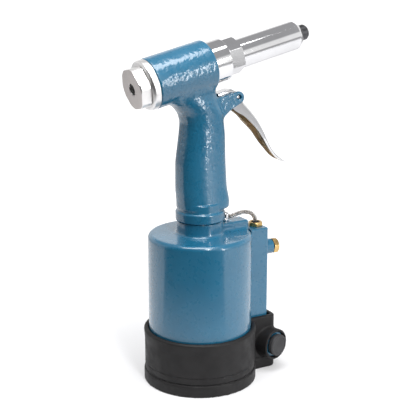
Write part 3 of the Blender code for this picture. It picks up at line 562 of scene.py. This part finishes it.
def surface(field, low, high, cell):
    """Surface nets: the field's zero set as quads, with one vertex in each cell that it crosses."""
    low = np.array(low, float)
    counts = np.ceil((np.array(high) - low) / cell).astype(int) + 1
    axes = [low[a] + cell * np.arange(counts[a]) for a in range(3)]
    points = np.stack(np.meshgrid(*axes, indexing="ij"), -1).reshape(-1, 3)
    value = field(points).reshape(counts)
    total = np.zeros((*(counts - 1), 3))
    hits = np.zeros(counts - 1)
    sides = []
    for a in range(3):
        u, v = [np.eye(3, dtype=int)[(a + k) % 3] for k in (1, 2)]
        step = np.eye(3, dtype=int)[a]
        first = value[tuple(slice(0, n - s) for n, s in zip(counts, step))]
        second = value[tuple(slice(s, n) for n, s in zip(counts, step))]
        spots = np.argwhere((first < 0) != (second < 0))
        f, s = first[tuple(spots.T)], second[tuple(spots.T)]
        place = spots + (f / (f - s))[:, None] * step
        cells = [spots, spots - u, spots - u - v, spots - v]
        for c in cells:
            np.add.at(total, tuple(c.T), place)
            np.add.at(hits, tuple(c.T), 1)
        sides.append((cells, f < 0))
    number = np.full(hits.shape, -1)
    used = hits > 0
    number[used] = np.arange(used.sum())
    verts = low + cell * (total[used] / hits[used][:, None])
    quads = []
    for cells, inside in sides:
        corners = np.stack([number[tuple(c.T)] for c in cells], 1)
        quads.append(np.where(inside[:, None], corners, corners[:, ::-1]))
    quads = np.concatenate(quads)
    return relaxed(field, verts, quads, cell), quads


def slope(field, p, step=0.02):
    """Gradient of a field, by central differences."""
    offsets = np.eye(3) * step
    return np.stack([(field(p + o) - field(p - o)) / (2 * step) for o in offsets], 1)


def relaxed(field, verts, quads, cell, rounds=4):
    """Vertices evened out along the surface and drawn onto it."""
    a, b = quads, np.roll(quads, -1, axis=1)
    for turn in range(rounds):
        total = np.zeros_like(verts)
        hits = np.zeros(len(verts))
        np.add.at(total, a.ravel(), verts[b.ravel()])
        np.add.at(total, b.ravel(), verts[a.ravel()])
        np.add.at(hits, a.ravel(), 1)
        np.add.at(hits, b.ravel(), 1)
        pull = total / hits[:, None] - verts
        normal = slope(field, verts)
        size = np.maximum(np.linalg.norm(normal, axis=1, keepdims=True), 1e-6)
        normal /= size
        pull -= (pull * normal).sum(1, keepdims=True) * normal
        verts = verts + 0.5 * pull
        back = np.clip(field(verts) / size[:, 0], -cell, cell)
        verts = verts - back[:, None] * normal
    return verts


# ---- mesh tools -----------------------------------------------------------------------------
def add_piece(name, node, verts, faces, mats, normals=None, sharp=None, face_mats=None, rides=True):
    """One finished piece: it rides on its node's body, stands for that node, and takes its finish."""
    mesh = bpy.data.meshes.new(name)
    mesh.from_pydata([tuple(v) for v in np.asarray(verts) * MM], [], [list(map(int, f)) for f in faces])
    mesh.validate()
    for mat in mats if isinstance(mats, (list, tuple)) else [mats]:
        mesh.materials.append(mat)
    if face_mats is not None:
        mesh.polygons.foreach_set("material_index", np.asarray(face_mats, dtype=np.int32))
    mesh.shade_smooth()
    if sharp is not None:
        mesh.set_sharp_from_angle(angle=math.radians(sharp))
    piece = bpy.data.objects.new(name, mesh)
    bpy.context.scene.collection.objects.link(piece)
    if normals is not None:
        mesh.normals_split_custom_set_from_vertices([tuple(n) for n in normals])
    elif sharp is not None:
        weighted = piece.modifiers.new("even_shading", "WEIGHTED_NORMAL")
        weighted.keep_sharp = True
    if rides:
        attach(piece, BODY_OF[node])
    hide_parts(node)
    return piece


def cast_piece(name, node, field, low, high, cell, mat):
    """A cast or moulded piece from its distance field."""
    verts, quads = surface(field, low, high, cell)
    normal = slope(field, verts)
    normal /= np.maximum(np.linalg.norm(normal, axis=1, keepdims=True), 1e-6)
    return add_piece(name, node, verts, quads, mat, normal)


def softened(profile, radius, closed=True, steps=4):
    """Profile with each corner replaced by a small curve."""
    points = [np.array(p, float) for p in profile]
    result = []
    for i, here in enumerate(points):
        before, after = points[i - 1], points[(i + 1) % len(points)]
        if (not closed and i in (0, len(points) - 1)) or here[0] == 0:
            result.append(here)
            continue
        to_before, to_after = before - here, after - here
        room = 0.45 * min(np.linalg.norm(to_before), np.linalg.norm(to_after))
        reach = min(radius, room)
        start = here + to_before / np.linalg.norm(to_before) * reach
        end = here + to_after / np.linalg.norm(to_after) * reach
        for t in np.linspace(0, 1, steps + 1):
            result.append((1 - t) ** 2 * start + 2 * t * (1 - t) * here + t * t * end)
    return result


def turned_mesh(profile, segments, closed, limit=None):
    """Verts and faces of a (radius, height) profile turned about Z. limit(angles) caps the radius."""
    verts, faces, rows = [], [], []
    angles = 2 * np.pi * np.arange(segments) / segments
    cap = limit(angles) if limit is not None else np.full(segments, 1e9)
    for r, h in profile:
        if r == 0:
            rows.append([len(verts)] * segments)
            verts.append((0, 0, h))
            continue
        rows.append(list(range(len(verts), len(verts) + segments)))
        radii = np.minimum(r, cap)
        verts += [(radii[i] * math.cos(a), radii[i] * math.sin(a), h) for i, a in enumerate(angles)]
    pairs = list(zip(rows, rows[1:]))
    if closed:
        pairs.append((rows[-1], rows[0]))
    for one, two in pairs:
        for i in range(segments):
            j = (i + 1) % segments
            face = [one[i], one[j], two[j], two[i]]
            faces.append([v for k, v in enumerate(face) if v != face[k - 1]])
    return np.array(verts, float), faces


def faced_out(verts, faces, numbers):
    """The same mesh with its faces turned outwards. numbers are the faces' material numbers."""
    bm = bmesh.new()
    made = [bm.verts.new(v) for v in verts]
    for corners, number in zip(faces, numbers):
        bm.faces.new([made[v] for v in corners]).material_index = number
    bmesh.ops.recalc_face_normals(bm, faces=bm.faces)
    bm.verts.index_update()
    verts = [v.co[:] for v in bm.verts]
    faces = [[v.index for v in f.verts] for f in bm.faces]
    numbers = [f.material_index for f in bm.faces]
    bm.free()
    return verts, faces, numbers


def placed(verts, place):
    """Verts moved by a matrix, if there is one."""
    if place is None:
        return verts
    turn = np.array(place)
    return np.array(verts) @ turn[:3, :3].T + turn[:3, 3]


def turned(name, node, profile, mats, place=None, radius=0.25, segments=128, limit=None, pick=None):
    """A turned piece. A profile that starts on the axis is open. pick(centre) gives a face's material."""
    closed = profile[0][0] != 0
    outline = softened(profile, radius, closed)
    if limit is not None:
        outline = dense(outline, 0.35, closed)
    verts, faces = turned_mesh(outline, segments, closed, limit)
    numbers = [0] * len(faces)
    if pick is not None:
        numbers = [pick(np.mean([verts[v] for v in f], axis=0)) for f in faces]
    verts, faces, numbers = faced_out(placed(verts, place), faces, numbers)
    return add_piece(name, node, verts, faces, mats, None, 35, numbers)


def dense(profile, step, closed):
    """Profile with its long sides cut into short ones."""
    result = []
    ends = profile[1:] + profile[:1] if closed else profile[1:]
    for a, b in zip(profile, ends):
        count = max(1, int(np.linalg.norm(np.array(b) - np.array(a)) / step))
        result += [np.array(a) + (np.array(b) - np.array(a)) * k / count for k in range(count)]
    if not closed:
        result.append(np.array(profile[-1]))
    return result


def hexagon(corner_radius, phase):
    """Radius of a hexagon at an angle."""
    flat = corner_radius * math.cos(math.pi / 6)

    def limit(angles):
        inside = np.mod(angles - phase, math.pi / 3) - math.pi / 6
        return flat / np.cos(inside)

    return limit


def smooth_line(points, per_span):
    """Catmull-Rom curve through points."""
    p = [np.array(q, float) for q in points]
    p = [2 * p[0] - p[1]] + p + [2 * p[-1] - p[-2]]
    result = []
    for a, b, c, d in zip(p, p[1:], p[2:], p[3:]):
        for k in range(per_span):
            t = k / per_span
            bend = (2 * a - 5 * b + 4 * c - d) * t * t
            twist = (3 * b - a - 3 * c + d) * t ** 3
            result.append(0.5 * (2 * b + (c - a) * t + bend + twist))
    result.append(p[-2])
    return np.array(result)


def tube_mesh(path, radius, sides, bore=0.0):
    """Wire or sleeve along a path: rings of vertices carried without twist, closed at both ends."""
    path = np.array(path, float)
    tangents = np.gradient(path, axis=0)
    tangents /= np.linalg.norm(tangents, axis=1, keepdims=True)
    across = np.cross(tangents[0], (0, 1, 0))
    if np.linalg.norm(across) < 0.1:
        across = np.cross(tangents[0], (1, 0, 0))
    verts, faces, rows = [], [], []
    rings = [radius] if bore == 0 else [radius, bore]
    for centre, tangent in zip(path, tangents):
        across = across - (across @ tangent) * tangent
        across /= np.linalg.norm(across)
        up = np.cross(tangent, across)
        row = []
        for r in rings:
            start = len(verts)
            for k in range(sides):
                a = 2 * math.pi * k / sides
                verts.append(centre + r * (math.cos(a) * across + math.sin(a) * up))
            row.append(list(range(start, start + sides)))
        rows.append(row)
    for one, two in zip(rows, rows[1:]):
        for layer in range(len(rings)):
            for k in range(sides):
                n = (k + 1) % sides
                face = [one[layer][k], one[layer][n], two[layer][n], two[layer][k]]
                faces.append(face if layer == 0 else face[::-1])
    if bore == 0:
        faces += [rows[0][0][::-1], rows[-1][0]]
    else:
        for row, flip in ((rows[0], True), (rows[-1], False)):
            for k in range(sides):
                n = (k + 1) % sides
                face = [row[0][k], row[0][n], row[1][n], row[1][k]]
                faces.append(face[::-1] if flip else face)
    return verts, faces


def spring(name, node, mat, centre_radius, wire, span, turns, place=None):
    """A closed-end coil about Z."""
    low, high = span[0] + wire, span[1] - wire
    count = int(turns * 28)
    path = []
    for i in range(count + 1):
        share = i / count
        rise = min(max((share * turns - 0.75) / (turns - 1.5), 0.0), 1.0)
        angle = 2 * math.pi * turns * share
        across = (centre_radius * math.cos(angle), centre_radius * math.sin(angle))
        path.append((*across, low + (high - low) * rise))
    verts, faces = tube_mesh(path, wire, 14)
    return add_piece(name, node, placed(verts, place), faces, mat, None, 50)


# ---- castings and mouldings -----------------------------------------------------------------
def grip_table():
    """Height, centre x, half x, half y and squareness of the grip, smoothed along its height."""
    slices = np.array(
        (
            (130.0, 2.4, 20.5, 16.7, 2.5),
            (142.0, 2.4, 20.6, 16.6, 2.5),
            (145.5, 2.6, 20.9, 16.3, 2.5),
            (157.0, 0.9, 20.2, 15.8, 2.5),
            (178.0, 0.3, 19.5, 15.4, 2.5),
            (199.0, 1.5, 17.7, 15.0, 2.5),
            (209.0, 1.4, 16.7, 14.9, 2.4),
            (216.0, 0.2, 17.6, 15.1, 2.3),
            (221.5, -3.2, 18.7, 15.6, 2.2),
            (226.0, -5.9, 20.1, 15.4, 2.2),
            (231.0, -7.5, 19.0, 14.0, 2.2),
            (238.0, -8.0, 14.0, 10.5, 2.2),
        )
    )
    heights = np.arange(126.0, 244.0, 0.5)
    table = np.stack([np.interp(heights, slices[:, 0], slices[:, k]) for k in range(1, 5)], 1)
    window = np.hanning(17)[1:-1]
    window /= window.sum()
    padded = np.pad(table, ((7, 7), (0, 0)), mode="edge")
    smooth = np.stack([np.convolve(padded[:, k], window, "valid") for k in range(4)], 1)
    return heights, smooth


GRIP_HEIGHTS, GRIP_SLICES = grip_table()


def grip(p):
    """The pistol grip: upright superellipse slices."""
    centre, half_x, half_y, power = (np.interp(p[:, 2], GRIP_HEIGHTS, GRIP_SLICES[:, k]) for k in range(4))
    dx, dy = p[:, 0] - centre, p[:, 1]
    size = (np.abs(dx / half_x) ** power + np.abs(dy / half_y) ** power) ** (1 / power)
    size = np.maximum(size, 1e-6)
    side = np.hypot(dx, dy) * (1 - 1 / size)
    end = np.abs(p[:, 2] - 189.0) - 48.2
    return rounded_corner(side, end, 2.0)


def lug(p):
    """The two trigger ears as one plate, from the grip's front to the round end about the pin."""
    pin_x, pin_z = PIN
    root_z = pin_z + EAR_R - (pin_x - 4.0) * math.tan(TILT)
    corners = [(4.0, root_z), (4.0, 206.0), (16.5, 211.5), (22.0, 216.2)]
    for k in range(13):
        a = math.radians(-76 + 179 * k / 12)
        corners.append((pin_x + EAR_R * math.cos(a), pin_z - 0.6 + EAR_R * math.sin(a)))
    return rounded_corner(polygon(p[:, 0], p[:, 2], corners), np.abs(p[:, 1]) - EAR_HALF_Y, 1.2)


def handle_field(p):
    front = (p - HEAD_CENTRE) @ HEAD_AXIS > -20.0
    barrel = rod(p, HEAD_CENTRE, HEAD_AXIS, HEAD_S, HEAD_R, np.where(front, 2.2, 0.8))
    body = soft_union(grip(p), barrel, 7.0)
    body = soft_union(body, lug(p), 2.0)
    waist = rod(p, np.zeros(3), UP, (JOINT_Z + 1.0, 146.0), 17.9, 0.4)
    body = soft_union(body, waist, 0.9)
    collar = rod(p, np.zeros(3), UP, (JOINT_Z, JOINT_Z + 7.7), COLLAR_R, 1.0)
    body = soft_union(body, collar, 0.7)
    slot = block(p, (12.0, -SLOT_HALF_Y, 208.0), (60.0, SLOT_HALF_Y, 260.0), 0.4, 0.4)
    body = soft_cut(body, slot, 0.6)
    body = soft_cut(body, rod(p, HEAD_CENTRE, HEAD_AXIS, (-60, 20), HEAD_BORE_R), 0.5)
    body = soft_cut(body, rod(p, np.zeros(3), UP, (120, 137), 12.6), 0.4)
    body = soft_cut(body, rod(p, np.zeros(3), UP, (120, 243), OIL_BORE_R), 0.4)
    across = np.array((0.0, 1.0, 0.0))
    pin = np.array((PIN[0], 0.0, PIN[1]))
    body = soft_cut(body, rod(p, pin, across, (-20, 20), 1.75), 0.5)
    fill = np.array((0.0, 0.0, FILL_Z))
    body = soft_cut(body, rod(p, fill, across, (13.0, 25.0), 4.7), 0.5)
    return soft_cut(body, rod(p, fill, across, (4.0, 25.0), 3.1), 0.3)


def cylinder_field(p):
    origin = np.zeros(3)
    upper = p[:, 2] > 60.0
    body = rod(p, origin, UP, (CYL_BOTTOM, CYL_TOP), CYL_R, np.where(upper, 3.6, 0.6))
    neck = rod(p, origin, UP, (100.0, NECK_TOP), NECK_R, 0.5)
    arm = block(p, (6.0, -ARM_HALF_Y, 118.0), (ARM_END_X, ARM_HALF_Y, ARM_TOP), 2.2, 1.5)
    lug_pad = block(p, (14.0, -ARM_HALF_Y - 1.0, 112.0), (27.0, ARM_HALF_Y + 1.0, ARM_TOP - 0.4), 1.6, 1.0)
    arm = soft_union(arm, lug_pad, 1.0)
    top = soft_union(neck, arm, 1.6)
    body = soft_union(body, top, 3.0)
    body = soft_cut(body, rod(p, origin, UP, (-10, CYL_TOP - 4.5), CYL_BORE_R), 0.4)
    return soft_cut(body, rod(p, origin, UP, (90, 150), NECK_BORE_R), 0.4)


def boot_radius(z):
    """Outside radius of the boot at a height: a bead at the foot, a groove, a faint step and a thick lip."""
    heights = (0.0, 1.0, 7.8, 8.9, 9.6, 10.4, 14.8, 15.5, 16.2, 34.0, 38.5, 42.0, BOOT_TOP)
    inset = (0.0, 0.0, 0.0, 0.2, 1.9, 0.85, 0.7, 1.3, 0.75, 0.7, 0.35, 0.0, 0.1)
    return BOOT_R - np.interp(z, heights, inset)


def boot_field(p):
    off = np.hypot(p[:, 0], p[:, 1])
    z = p[:, 2]
    edge = np.where(z < 20.0, 0.4, 2.2)
    wall = rounded_corner(off - boot_radius(z), np.abs(z - BOOT_TOP / 2) - BOOT_TOP / 2, edge)
    side = block(p, (26.0, -BOOT_SIDE_HALF_Y, 0.0), (BOOT_SIDE_X, BOOT_SIDE_HALF_Y, BOOT_SIDE_TOP), 5.5, 1.5)
    inset = np.interp(z, (0.0, 8.4, 9.0, 9.8, 10.6, 30.0), (0.0, 0.0, 0.2, 0.8, 0.3, 0.3))
    side = side + inset
    body = soft_union(wall, side, 2.0)
    collar = rod(p, INLET_CENTRE, INLET_AXIS, (-6.0, 23.4), BOOT_COLLAR_R, 1.1)
    body = soft_union(body, collar, 1.6)
    body = soft_cut(body, rod(p, np.zeros(3), UP, (3.0, 80.0), CYL_R + GAP), 0.6)
    pocket = block(p, (30.0, -BLOCK_HALF_Y - GAP, 5.7), (POCKET_X, BLOCK_HALF_Y + GAP, 80.0), 2.0, 0.5)
    body = soft_cut(body, pocket, 0.5)
    body = soft_cut(body, rod(p, INLET_CENTRE, INLET_AXIS, (5.7, 60.0), INLET_R + GAP), 0.5)
    return np.maximum(body, -z)


def valve_block_field(p):
    body = block(p, (BLOCK_X[0], -BLOCK_HALF_Y, BLOCK_Z[0]), (BLOCK_X[1], BLOCK_HALF_Y, BLOCK_Z[1]), 2.0, 1.2)
    boss_centre = np.array((0.0, 0.0, BOSS_Z))
    body = soft_union(body, rod(p, boss_centre, FORWARD, (50.0, BOSS_END_X), BOSS_R, 0.6), 1.5)
    body = soft_union(body, rod(p, INLET_CENTRE, INLET_AXIS, (6.0, INLET_REACH - 1.4), INLET_R, 0.6), 1.0)
    seat = np.interp(p[:, 2], (113.4, 114.4), (CYL_R + GAP, ARM_CLEAR_R))
    body = soft_cut(body, rod(p, np.zeros(3), UP, (-20, 150), seat), 0.5)
    body = soft_cut(body, rod(p, INLET_CENTRE, INLET_AXIS, (2.0, 60.0), INLET_BORE_R), 0.5)
    valve_centre = np.array((VALVE_X, 0.0, 0.0))
    body = soft_cut(body, rod(p, valve_centre, UP, (58.0, 150.0), VALVE_BORE_R), 0.3)
    return soft_cut(body, rod(p, boss_centre, FORWARD, (BLOCK_X[1] - 6.0, 90.0), SILENCER_BORE_R), 0.3)


def make_castings(mats):
    blue, smooth_blue = mats["blue_paint"], mats["blue_cylinder"]
    cast_piece("handle_casting", "handle_frame", handle_field, (-62, -22, 128), (40, 22, 276), 0.85, blue)
    low, high = (-43, -43, 0), (43, 43, 134)
    cast_piece("cylinder_casting", "air_cylinder", cylinder_field, low, high, 1.1, smooth_blue)
    cast_piece("boot_moulding", "rubber_boot", boot_field, (-47, -47, -2), (76, 47, 47), 0.95, mats["rubber"])
    cast_piece("valve_body", "valve_block", valve_block_field, (31, -28, 3), (72, 13, 122), 0.75, smooth_blue)


# ---- turned and pressed pieces --------------------------------------------------------------
def make_rear(mats):
    flange = [
        (5.2, -38.0),
        (5.2, FLANGE_REAR),
        (17.6, FLANGE_REAR),
        (18.8, FLANGE_REAR + 0.6),
        (FLANGE_R, FLANGE_REAR + 1.4),
        (FLANGE_R, FLANGE_FRONT),
        (15.3, FLANGE_FRONT),
        (15.3, -38.0),
    ]
    turned("end_cap", "end_cap_flange", flange, mats["satin_alu"], IN_HEAD, 0.3)
    low, high = CAP_S
    cap = [(4.5, low), (15.6, low), (CAP_R, low + 0.6), (CAP_R, high), (4.5, high)]

    def face_or_side(centre):
        return 1 if centre[2] < low + 0.2 else 0

    turned(
        "hex_cap",
        "safety_cap",
        cap,
        [mats["satin_alu"], mats["cap_face"]],
        IN_HEAD,
        0.3,
        192,
        hexagon(CAP_CORNER_R, math.radians(20)),
        face_or_side,
    )


def make_nose(mats):
    sleeve = [
        (7.7, 1.2),
        (15.4, 1.2),
        (15.4, HEAD_S[1] + GAP),
        (SLEEVE_R, HEAD_S[1] + GAP),
        (SLEEVE_R, SLEEVE_END - 0.6),
        (SLEEVE_R - 0.6, SLEEVE_END),
        (7.7, SLEEVE_END),
    ]
    turned("head_sleeve_skin", "head_sleeve", sleeve, mats["chrome"], IN_HEAD, 0.3)
    low = SLEEVE_END + GAP
    nut = [
        (TUBE_R + 0.1, low),
        (13.9, low),
        (14.3, low + 0.4),
        (14.3, NUT_END - 0.8),
        (13.5, NUT_END),
        (TUBE_R + 0.1, NUT_END),
    ]
    flats = hexagon(NUT_CORNER_R, math.radians(-3))
    turned("lock_nut_skin", "lock_nut", nut, mats["chrome"], IN_HEAD, 0.25, 192, flats)
    tube = [
        (9.7, low),
        (TUBE_R, low),
        (TUBE_R, TUBE_SHOULDER),
        (7.0, TUBE_END),
        (4.6, TUBE_END),
        (4.6, TUBE_SHOULDER),
        (9.7, TUBE_SHOULDER - 1.5),
    ]
    turned("front_tube_skin", "front_tube", tube, mats["chrome"], IN_HEAD, 0.35)
    nose = [
        (2.1, TUBE_SHOULDER - 1.0),
        (4.3, TUBE_SHOULDER - 1.0),
        (4.3, TUBE_END + GAP),
        (6.2, TUBE_END + GAP),
        (6.2, NOSE_END - 1.8),
        (4.8, NOSE_END),
        (2.1, NOSE_END),
    ]
    turned("nose_tip", "nose_piece", nose, mats["dark_steel"], IN_HEAD, 0.35, 96)


def trigger_stations():
    """Front line and near back edge of the lever, as (front x, front z, back x, back z), arm to tip."""
    return (
        (13.6, 229.9, 13.6, 226.9),
        (19.6, 231.6, 19.6, 226.8),
        (24.6, 232.3, 22.0, 225.6),
        (30.0, 230.4, 24.4, 222.4),
        (33.6, 227.0, 26.2, 218.4),
        (36.0, 221.8, 29.6, 215.0),
        (41.6, 215.7, 37.2, 210.3),
        (48.9, 207.0, 45.0, 203.2),
        (54.9, 197.4, 50.6, 196.9),
        (59.0, 189.2, 55.8, 189.4),
        (64.0, 181.4, 61.0, 181.8),
        (70.2, 175.2, 67.6, 174.2),
        (77.4, 169.8, 76.4, 169.4),
    )


# Heights on the front line, and how much deeper the far flange is at each than the near one.
FAR_FLANGE = ((170.0, 176.0, 186.0, 212.0, 222.0), (0.0, 0.6, 2.2, 2.2, 0.0))


def flange_section(depth, half, thick, corner):
    """Half of the channel's section as (depth, width) points: web's inside, lip, web's front."""
    outer = [(depth - 0.15, half)]
    inner = [(depth - 0.15, half - thick)]
    inside = max(corner - thick, 0.15)
    for k in range(7):
        a = math.pi / 2 * k / 6
        outer.append((corner - corner * math.sin(a), half - corner + corner * math.cos(a)))
        inner.append((thick + inside - inside * math.sin(a), half - thick - inside + inside * math.cos(a)))
    lip = [(depth, half - thick + 0.15), (depth, half - 0.15)]
    return inner[::-1] + lip + outer


def make_trigger(mats):
    """A folded sheet channel: web in front, a flange each side."""
    rows = smooth_line(trigger_stations(), 8)
    sheet, bend, half_full = 1.1, 1.7, SLOT_HALF_Y - 0.35
    verts, faces, numbers, loops = [], [], [], []
    for fx, fz, bx, bz in rows:
        drop = min(max((190.0 - fz) / 20.0, 0.0), 1.0)
        half = half_full * (1.0 - 0.45 * drop)
        depth = max(math.hypot(bx - fx, bz - fz), 0.6)
        back = np.array((bx - fx, 0, bz - fz)) / depth
        thick = min(sheet, depth * 0.5)
        corner = min(bend, depth * 0.6)
        right = flange_section(depth + np.interp(fz, *FAR_FLANGE), half, thick, corner)
        left = [(u, -v) for u, v in flange_section(depth, half, thick, corner)[::-1]]
        section = left + right
        origin = np.array((fx, 0, fz))
        loops.append(list(range(len(verts), len(verts) + len(section))))
        verts += [origin + back * u + np.array((0, v, 0)) for u, v in section]
    count = len(loops[0])
    middle, inner_count = count // 2, 8
    for one, two in zip(loops, loops[1:]):
        for k in range(count):
            n = (k + 1) % count
            faces.append([one[k], one[n], two[n], two[k]])
            numbers.append(1 if middle - inner_count <= k < middle + inner_count else 0)
    for loop, flip in ((loops[0], True), (loops[-1], False)):
        for k in range(middle - 1):
            corners = [loop[k], loop[k + 1], loop[count - 2 - k], loop[count - 1 - k]]
            if len(set(corners)) == 4:
                faces.append(corners[::-1] if flip else corners)
                numbers.append(0)
    verts, faces, numbers = faced_out(verts, faces, numbers)
    # The channel's inside faces get a brown tint, a painted reflection and shade on the chrome.
    finish = [mats["chrome"], mats["inside_painted_reflection"]]
    add_piece("trigger_lever", "trigger", verts, faces, finish, None, 45, numbers)
    pin_place = Matrix.Translation((PIN[0], 0, PIN[1])) @ ACROSS
    half = EAR_HALF_Y - 1.5
    pin = [(0, -half), (1.1, -half), (1.5, -half + 0.4), (1.5, half - 0.4), (1.1, half), (0, half)]
    turned("trigger_pin_skin", "trigger_pin", pin, mats["steel"], pin_place, 0.2, 48)


def make_cable(mats):
    route = smooth_line(CABLE_ROUTE, 8)
    verts, faces = tube_mesh(route, 0.75, 12)
    steel = mats["spring_steel"]
    wire = add_piece("throttle_wire", "throttle_cable", verts, faces, steel, None, 60, rides=False)
    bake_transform(wire)
    top = BLOCK_Z[1]
    outside = route[(route[:, 0] > 26.0) & (route[:, 2] > top + 4.4)]
    verts, faces = tube_mesh(outside, 1.75, 20, 1.05)
    add_piece("wire_sleeve", "cable_sleeve", verts, faces, mats["clear_sleeve"], None, 60)
    ferrule = [
        (1.2, ARM_TOP + GAP),
        (3.0, ARM_TOP + GAP),
        (3.0, ARM_TOP + 2.2),
        (2.7, ARM_TOP + 2.5),
        (3.0, ARM_TOP + 2.8),
        (3.0, ARM_TOP + 6.2),
        (2.3, ARM_TOP + 7.0),
        (1.2, ARM_TOP + 7.0),
    ]
    on_arm = Matrix.Translation((22.6, 0, 0))
    turned("wire_ferrule", "cable_ferrule", ferrule, mats["chrome"], on_arm, 0.25, 64)
    at_valve = Matrix.Translation((VALVE_X, 0, 0))
    boot = [(1.15, top + 2.1), (3.1, top + 2.1), (2.9, top + 3.1), (2.4, top + 4.1), (1.15, top + 4.1)]
    turned("wire_boot", "cable_boot", boot, mats["rubber"], at_valve, 0.2, 64)
    gland = [
        (1.15, top - 3.0),
        (3.8, top - 3.0),
        (3.8, top + GAP),
        (5.9, top + GAP),
        (5.9, top + 2.7),
        (5.2, top + 3.5),
        (3.5, top + 3.5),
        (3.5, top + 1.7),
        (1.15, top + 1.7),
    ]
    flats = hexagon(6.1, math.radians(10))
    turned("gland_nut", "cable_gland_nut", gland, mats["brass"], at_valve, 0.2, 144, flats)


def make_fittings(mats):
    head = BOSS_END_X - BLOCK_X[1]
    plug = [
        (0, head - 5.0),
        (3.4, head - 5.0),
        (3.4, head + GAP),
        (6.3, head + GAP),
        (6.3, head + 4.2),
        (5.5, head + 5.0),
        (3.2, head + 5.0),
        (2.8, head + 3.8),
        (0, head + 3.8),
    ]
    turned("silencer_plug", "exhaust_silencer", plug, mats["brass"], IN_BOSS, 0.25, 144, hexagon(6.6, 0.3))
    stopper = [
        (0, 8.0),
        (6.6, 8.0),
        (7.25, 9.0),
        (7.25, INLET_REACH + GAP),
        (8.9, INLET_REACH + GAP),
        (8.9, INLET_REACH + 3.0),
        (8.0, INLET_REACH + 3.9),
        (7.1, INLET_REACH + 3.9),
        (6.8, INLET_REACH + 3.6),
        (0, INLET_REACH + 3.6),
    ]
    turned("inlet_stopper", "inlet_plug", stopper, mats["black_plastic"], IN_INLET, 0.3, 128)
    fill_place = Matrix.Translation((0, 0, FILL_Z)) @ ACROSS
    washer = [(3.1, 13.2), (4.4, 13.2), (4.4, 14.0), (3.1, 14.0)]
    turned("fill_washer", "oil_fill_washer", washer, mats["brass"], fill_place, 0.15, 64)
    screw = [(0, 7.6), (2.6, 7.6), (2.9, 7.9), (2.9, 14.2), (4.4, 14.2), (4.4, 16.0)]
    screw += [(4.0, 16.4), (2.1, 16.4), (2.1, 14.8), (0, 14.8)]
    turned("fill_screw", "oil_fill_screw", screw, mats["steel"], fill_place, 0.15, 64)


def make_springs(mats):
    wire = mats["spring_steel"]
    main_spring = spring("draw_return_coil", "return_spring", wire, 11.4, 1.1, MAIN_SPRING_S, 4, IN_HEAD)
    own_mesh(main_spring)
    jaw = spring("jaw_coil", "jaw_spring", wire, 6.1, 0.6, JAW_SPRING_S, 4, IN_HEAD)
    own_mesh(jaw)
    place = Matrix.Translation((VALVE_X, 0, 0))
    throttle = spring("throttle_coil", "throttle_spring", wire, 2.9, 0.45, THROTTLE_SPRING_Z, 7, place)
    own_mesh(throttle)


def finish_cad_nodes(mats):
    """The hidden working parts stay as CAD nodes, with finished materials."""
    for name, node in frame["nodes"].items():
        finish = mats[SLOT_OF[name]]
        node.data.materials.clear()
        node.data.materials.append(finish)


bpy.context.scene.view_settings.view_transform = "Standard"
make_camera()
make_studio()
make_floor()
MATS = make_materials()
finish_cad_nodes(MATS)
make_castings(MATS)
make_rear(MATS)
make_nose(MATS)
make_trigger(MATS)
make_cable(MATS)
make_fittings(MATS)
make_springs(MATS)
